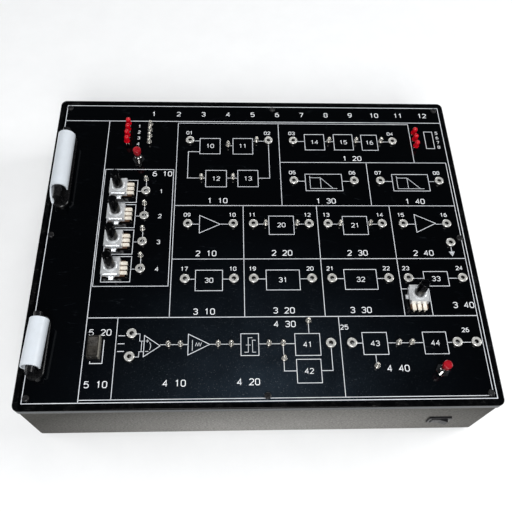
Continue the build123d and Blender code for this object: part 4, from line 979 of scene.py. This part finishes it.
# %% Numbers in the blocks and under them
inside = [
    ("10", (-48.2, 110.2)), ("11", (-13.3, 110.4)), ("12", (-41.5, 67.8)), ("13", (-8.5, 68.0)),
    ("14", (64.0, 116.2)), ("15", (95.3, 116.3)), ("16", (123.8, 116.0)), ("20", (23.9, 11.6)), ("21", (98.0, 11.2)),
    ("30", (-47.3, -49.6)), ("31", (22.9, -49.4)), ("32", (97.4, -49.2)), ("33", (170.4, -48.8)),
    ("41", (42.4, -114.4)), ("42", (42.3, -139.2)), ("43", (103.9, -113.9)), ("44", (159.2, -113.9)),
]
block_digits = 4.6
for text, middle in inside:
    number(text, middle, high=block_digits)
below = [
    ("1 10", (-39.8, 40.5)), ("1 20", (102.8, 94.4)), ("1 30", (70.8, 40.3)), ("1 40", (162.8, 39.9)),
    ("2 10", (-50.5, -20.6)), ("2 20", (23.2, -20.2)), ("2 30", (97.1, -20.4)), ("2 40", (162.3, -20.6)),
    ("3 10", (-51.4, -81.7)), ("3 20", (22.4, -81.0)), ("3 30", (94.3, -81.0)), ("3 40", (192.0, -76.5)),
    ("4 10", (-76.0, -149.0)), ("4 20", (-11.5, -148.5)), ("4 30", (22.5, -94.5)), ("4 40", (122.0, -137.5)),
    ("5 10", (-143.5, -149.5)), ("5 20", (-144.0, -101.5)), ("6 10", (-97.0, 73.6)),
]
caption_digits, caption_ink = 5.4, 0.7
for text, middle in below:
    number(text, middle, high=caption_digits, ink_width=caption_ink)
title_left, title_pitch, title_row = -110.0, 27.0, 154.0
for column in range(12):
    title_place = (title_left + title_pitch * column, title_row)
    number(f"{column + 1}", title_place, high=caption_digits, ink_width=caption_ink)
lamp_digits = 3.4
for place, clock_row in enumerate(clock_rows):
    number(f"{place + 1}", (-97.0, clock_row))
    number(f"{place + 1}", (-124.5, 136.5 - 8.0 * place), high=lamp_digits)
    number(f"{place + 5}", (199.2, 129.5 - 6.4 * place), high=lamp_digits, ink_width=fine_ink)
numbers = new_object("printed_numbers", mesh_from(letters, "printed_numbers"))
numbers.data.materials.append(
    finish(
        "number_ink", (0.86, 0.87, 0.89), (0.72, 0.74, 0.77), rough=(0.45, 0.6), grain_scale=1500.0,
        bump_strength=0.1, blotch=120.0,
    )
)
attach(numbers, "instrument")
print("numbers have", len(numbers.data.polygons), "faces")

# %% [markdown]
# ## Springs under the buttons
#
# Each push button stands on a coil spring of round steel wire, hidden in its bush.  The Screw modifier could
# wind one, but its ends would stay open.  A formula is as short: the wire's centre climbs as it turns round
# the axis, slower at both ends so that the end coils lie flatter, and a small circle is carried along it.
# A pressed button would shorten its spring by the button's travel; here each coil is wound at rest.

# %% A coil of wire
spring_turns = 8
spring_slow = 0.45
wire_radius = 0.32 * MM
steps_per_turn, steps_round = 24, 8


def coil(middle, low, high, radius):
    """Vertices and quads of a coil whose ends are closed.

    With t from 0 to 1 and a = 2 pi turns t, the wire's centre is at (radius cos a, radius sin a) round the
    middle, at the height low + (high - low) (t - slow sin(2 pi t) / 2 pi).  The circle round it lies in the
    upright plane through the spring's axis.
    """
    t = np.linspace(0.0, 1.0, spring_turns * steps_per_turn + 1)[:, None]
    a = 2 * np.pi * spring_turns * t
    b = np.linspace(0.0, 2 * np.pi, steps_round, endpoint=False)
    out = radius + wire_radius * np.cos(b)
    climb = t - spring_slow * np.sin(2 * np.pi * t) / (2 * np.pi)
    up = low + (high - low) * climb + wire_radius * np.sin(b)
    rings = np.stack([middle[0] + out * np.cos(a), middle[1] + out * np.sin(a), up], axis=2)
    start = np.arange(len(t) - 1)[:, None] * steps_round
    around = np.arange(steps_round)
    beside = (around + 1) % steps_round
    quads = np.stack([
        start + around, start + steps_round + around, start + steps_round + beside, start + beside,
    ], axis=2).reshape(-1, 4)
    end_cap = np.array([[0, 1, 2, 3], [0, 3, 4, 7], [4, 5, 6, 7]])
    last = (len(t) - 1) * steps_round
    return rings.reshape(-1, 3), np.vstack([quads, end_cap, last + end_cap[:, ::-1]])


# %% Stand one in each bush
for button in (1, 2):
    spring_low, spring_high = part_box(f"button_spring_{button}")
    middle = ((spring_low[0] + spring_high[0]) / 2, (spring_low[1] + spring_high[1]) / 2)
    radius = (spring_high[0] - spring_low[0]) / 2 - wire_radius
    spring = new_object(f"coil_spring_{button}", mesh_from(
        [coil(middle, spring_low[2] + wire_radius, spring_high[2] - wire_radius, radius)], f"coil_spring_{button}"
    ))
    spring.data.shade_smooth()
    spring.data.materials.append(finishes["spring_steel"])
    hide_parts(f"button_spring_{button}")
    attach(spring, "instrument")
    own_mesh(spring)
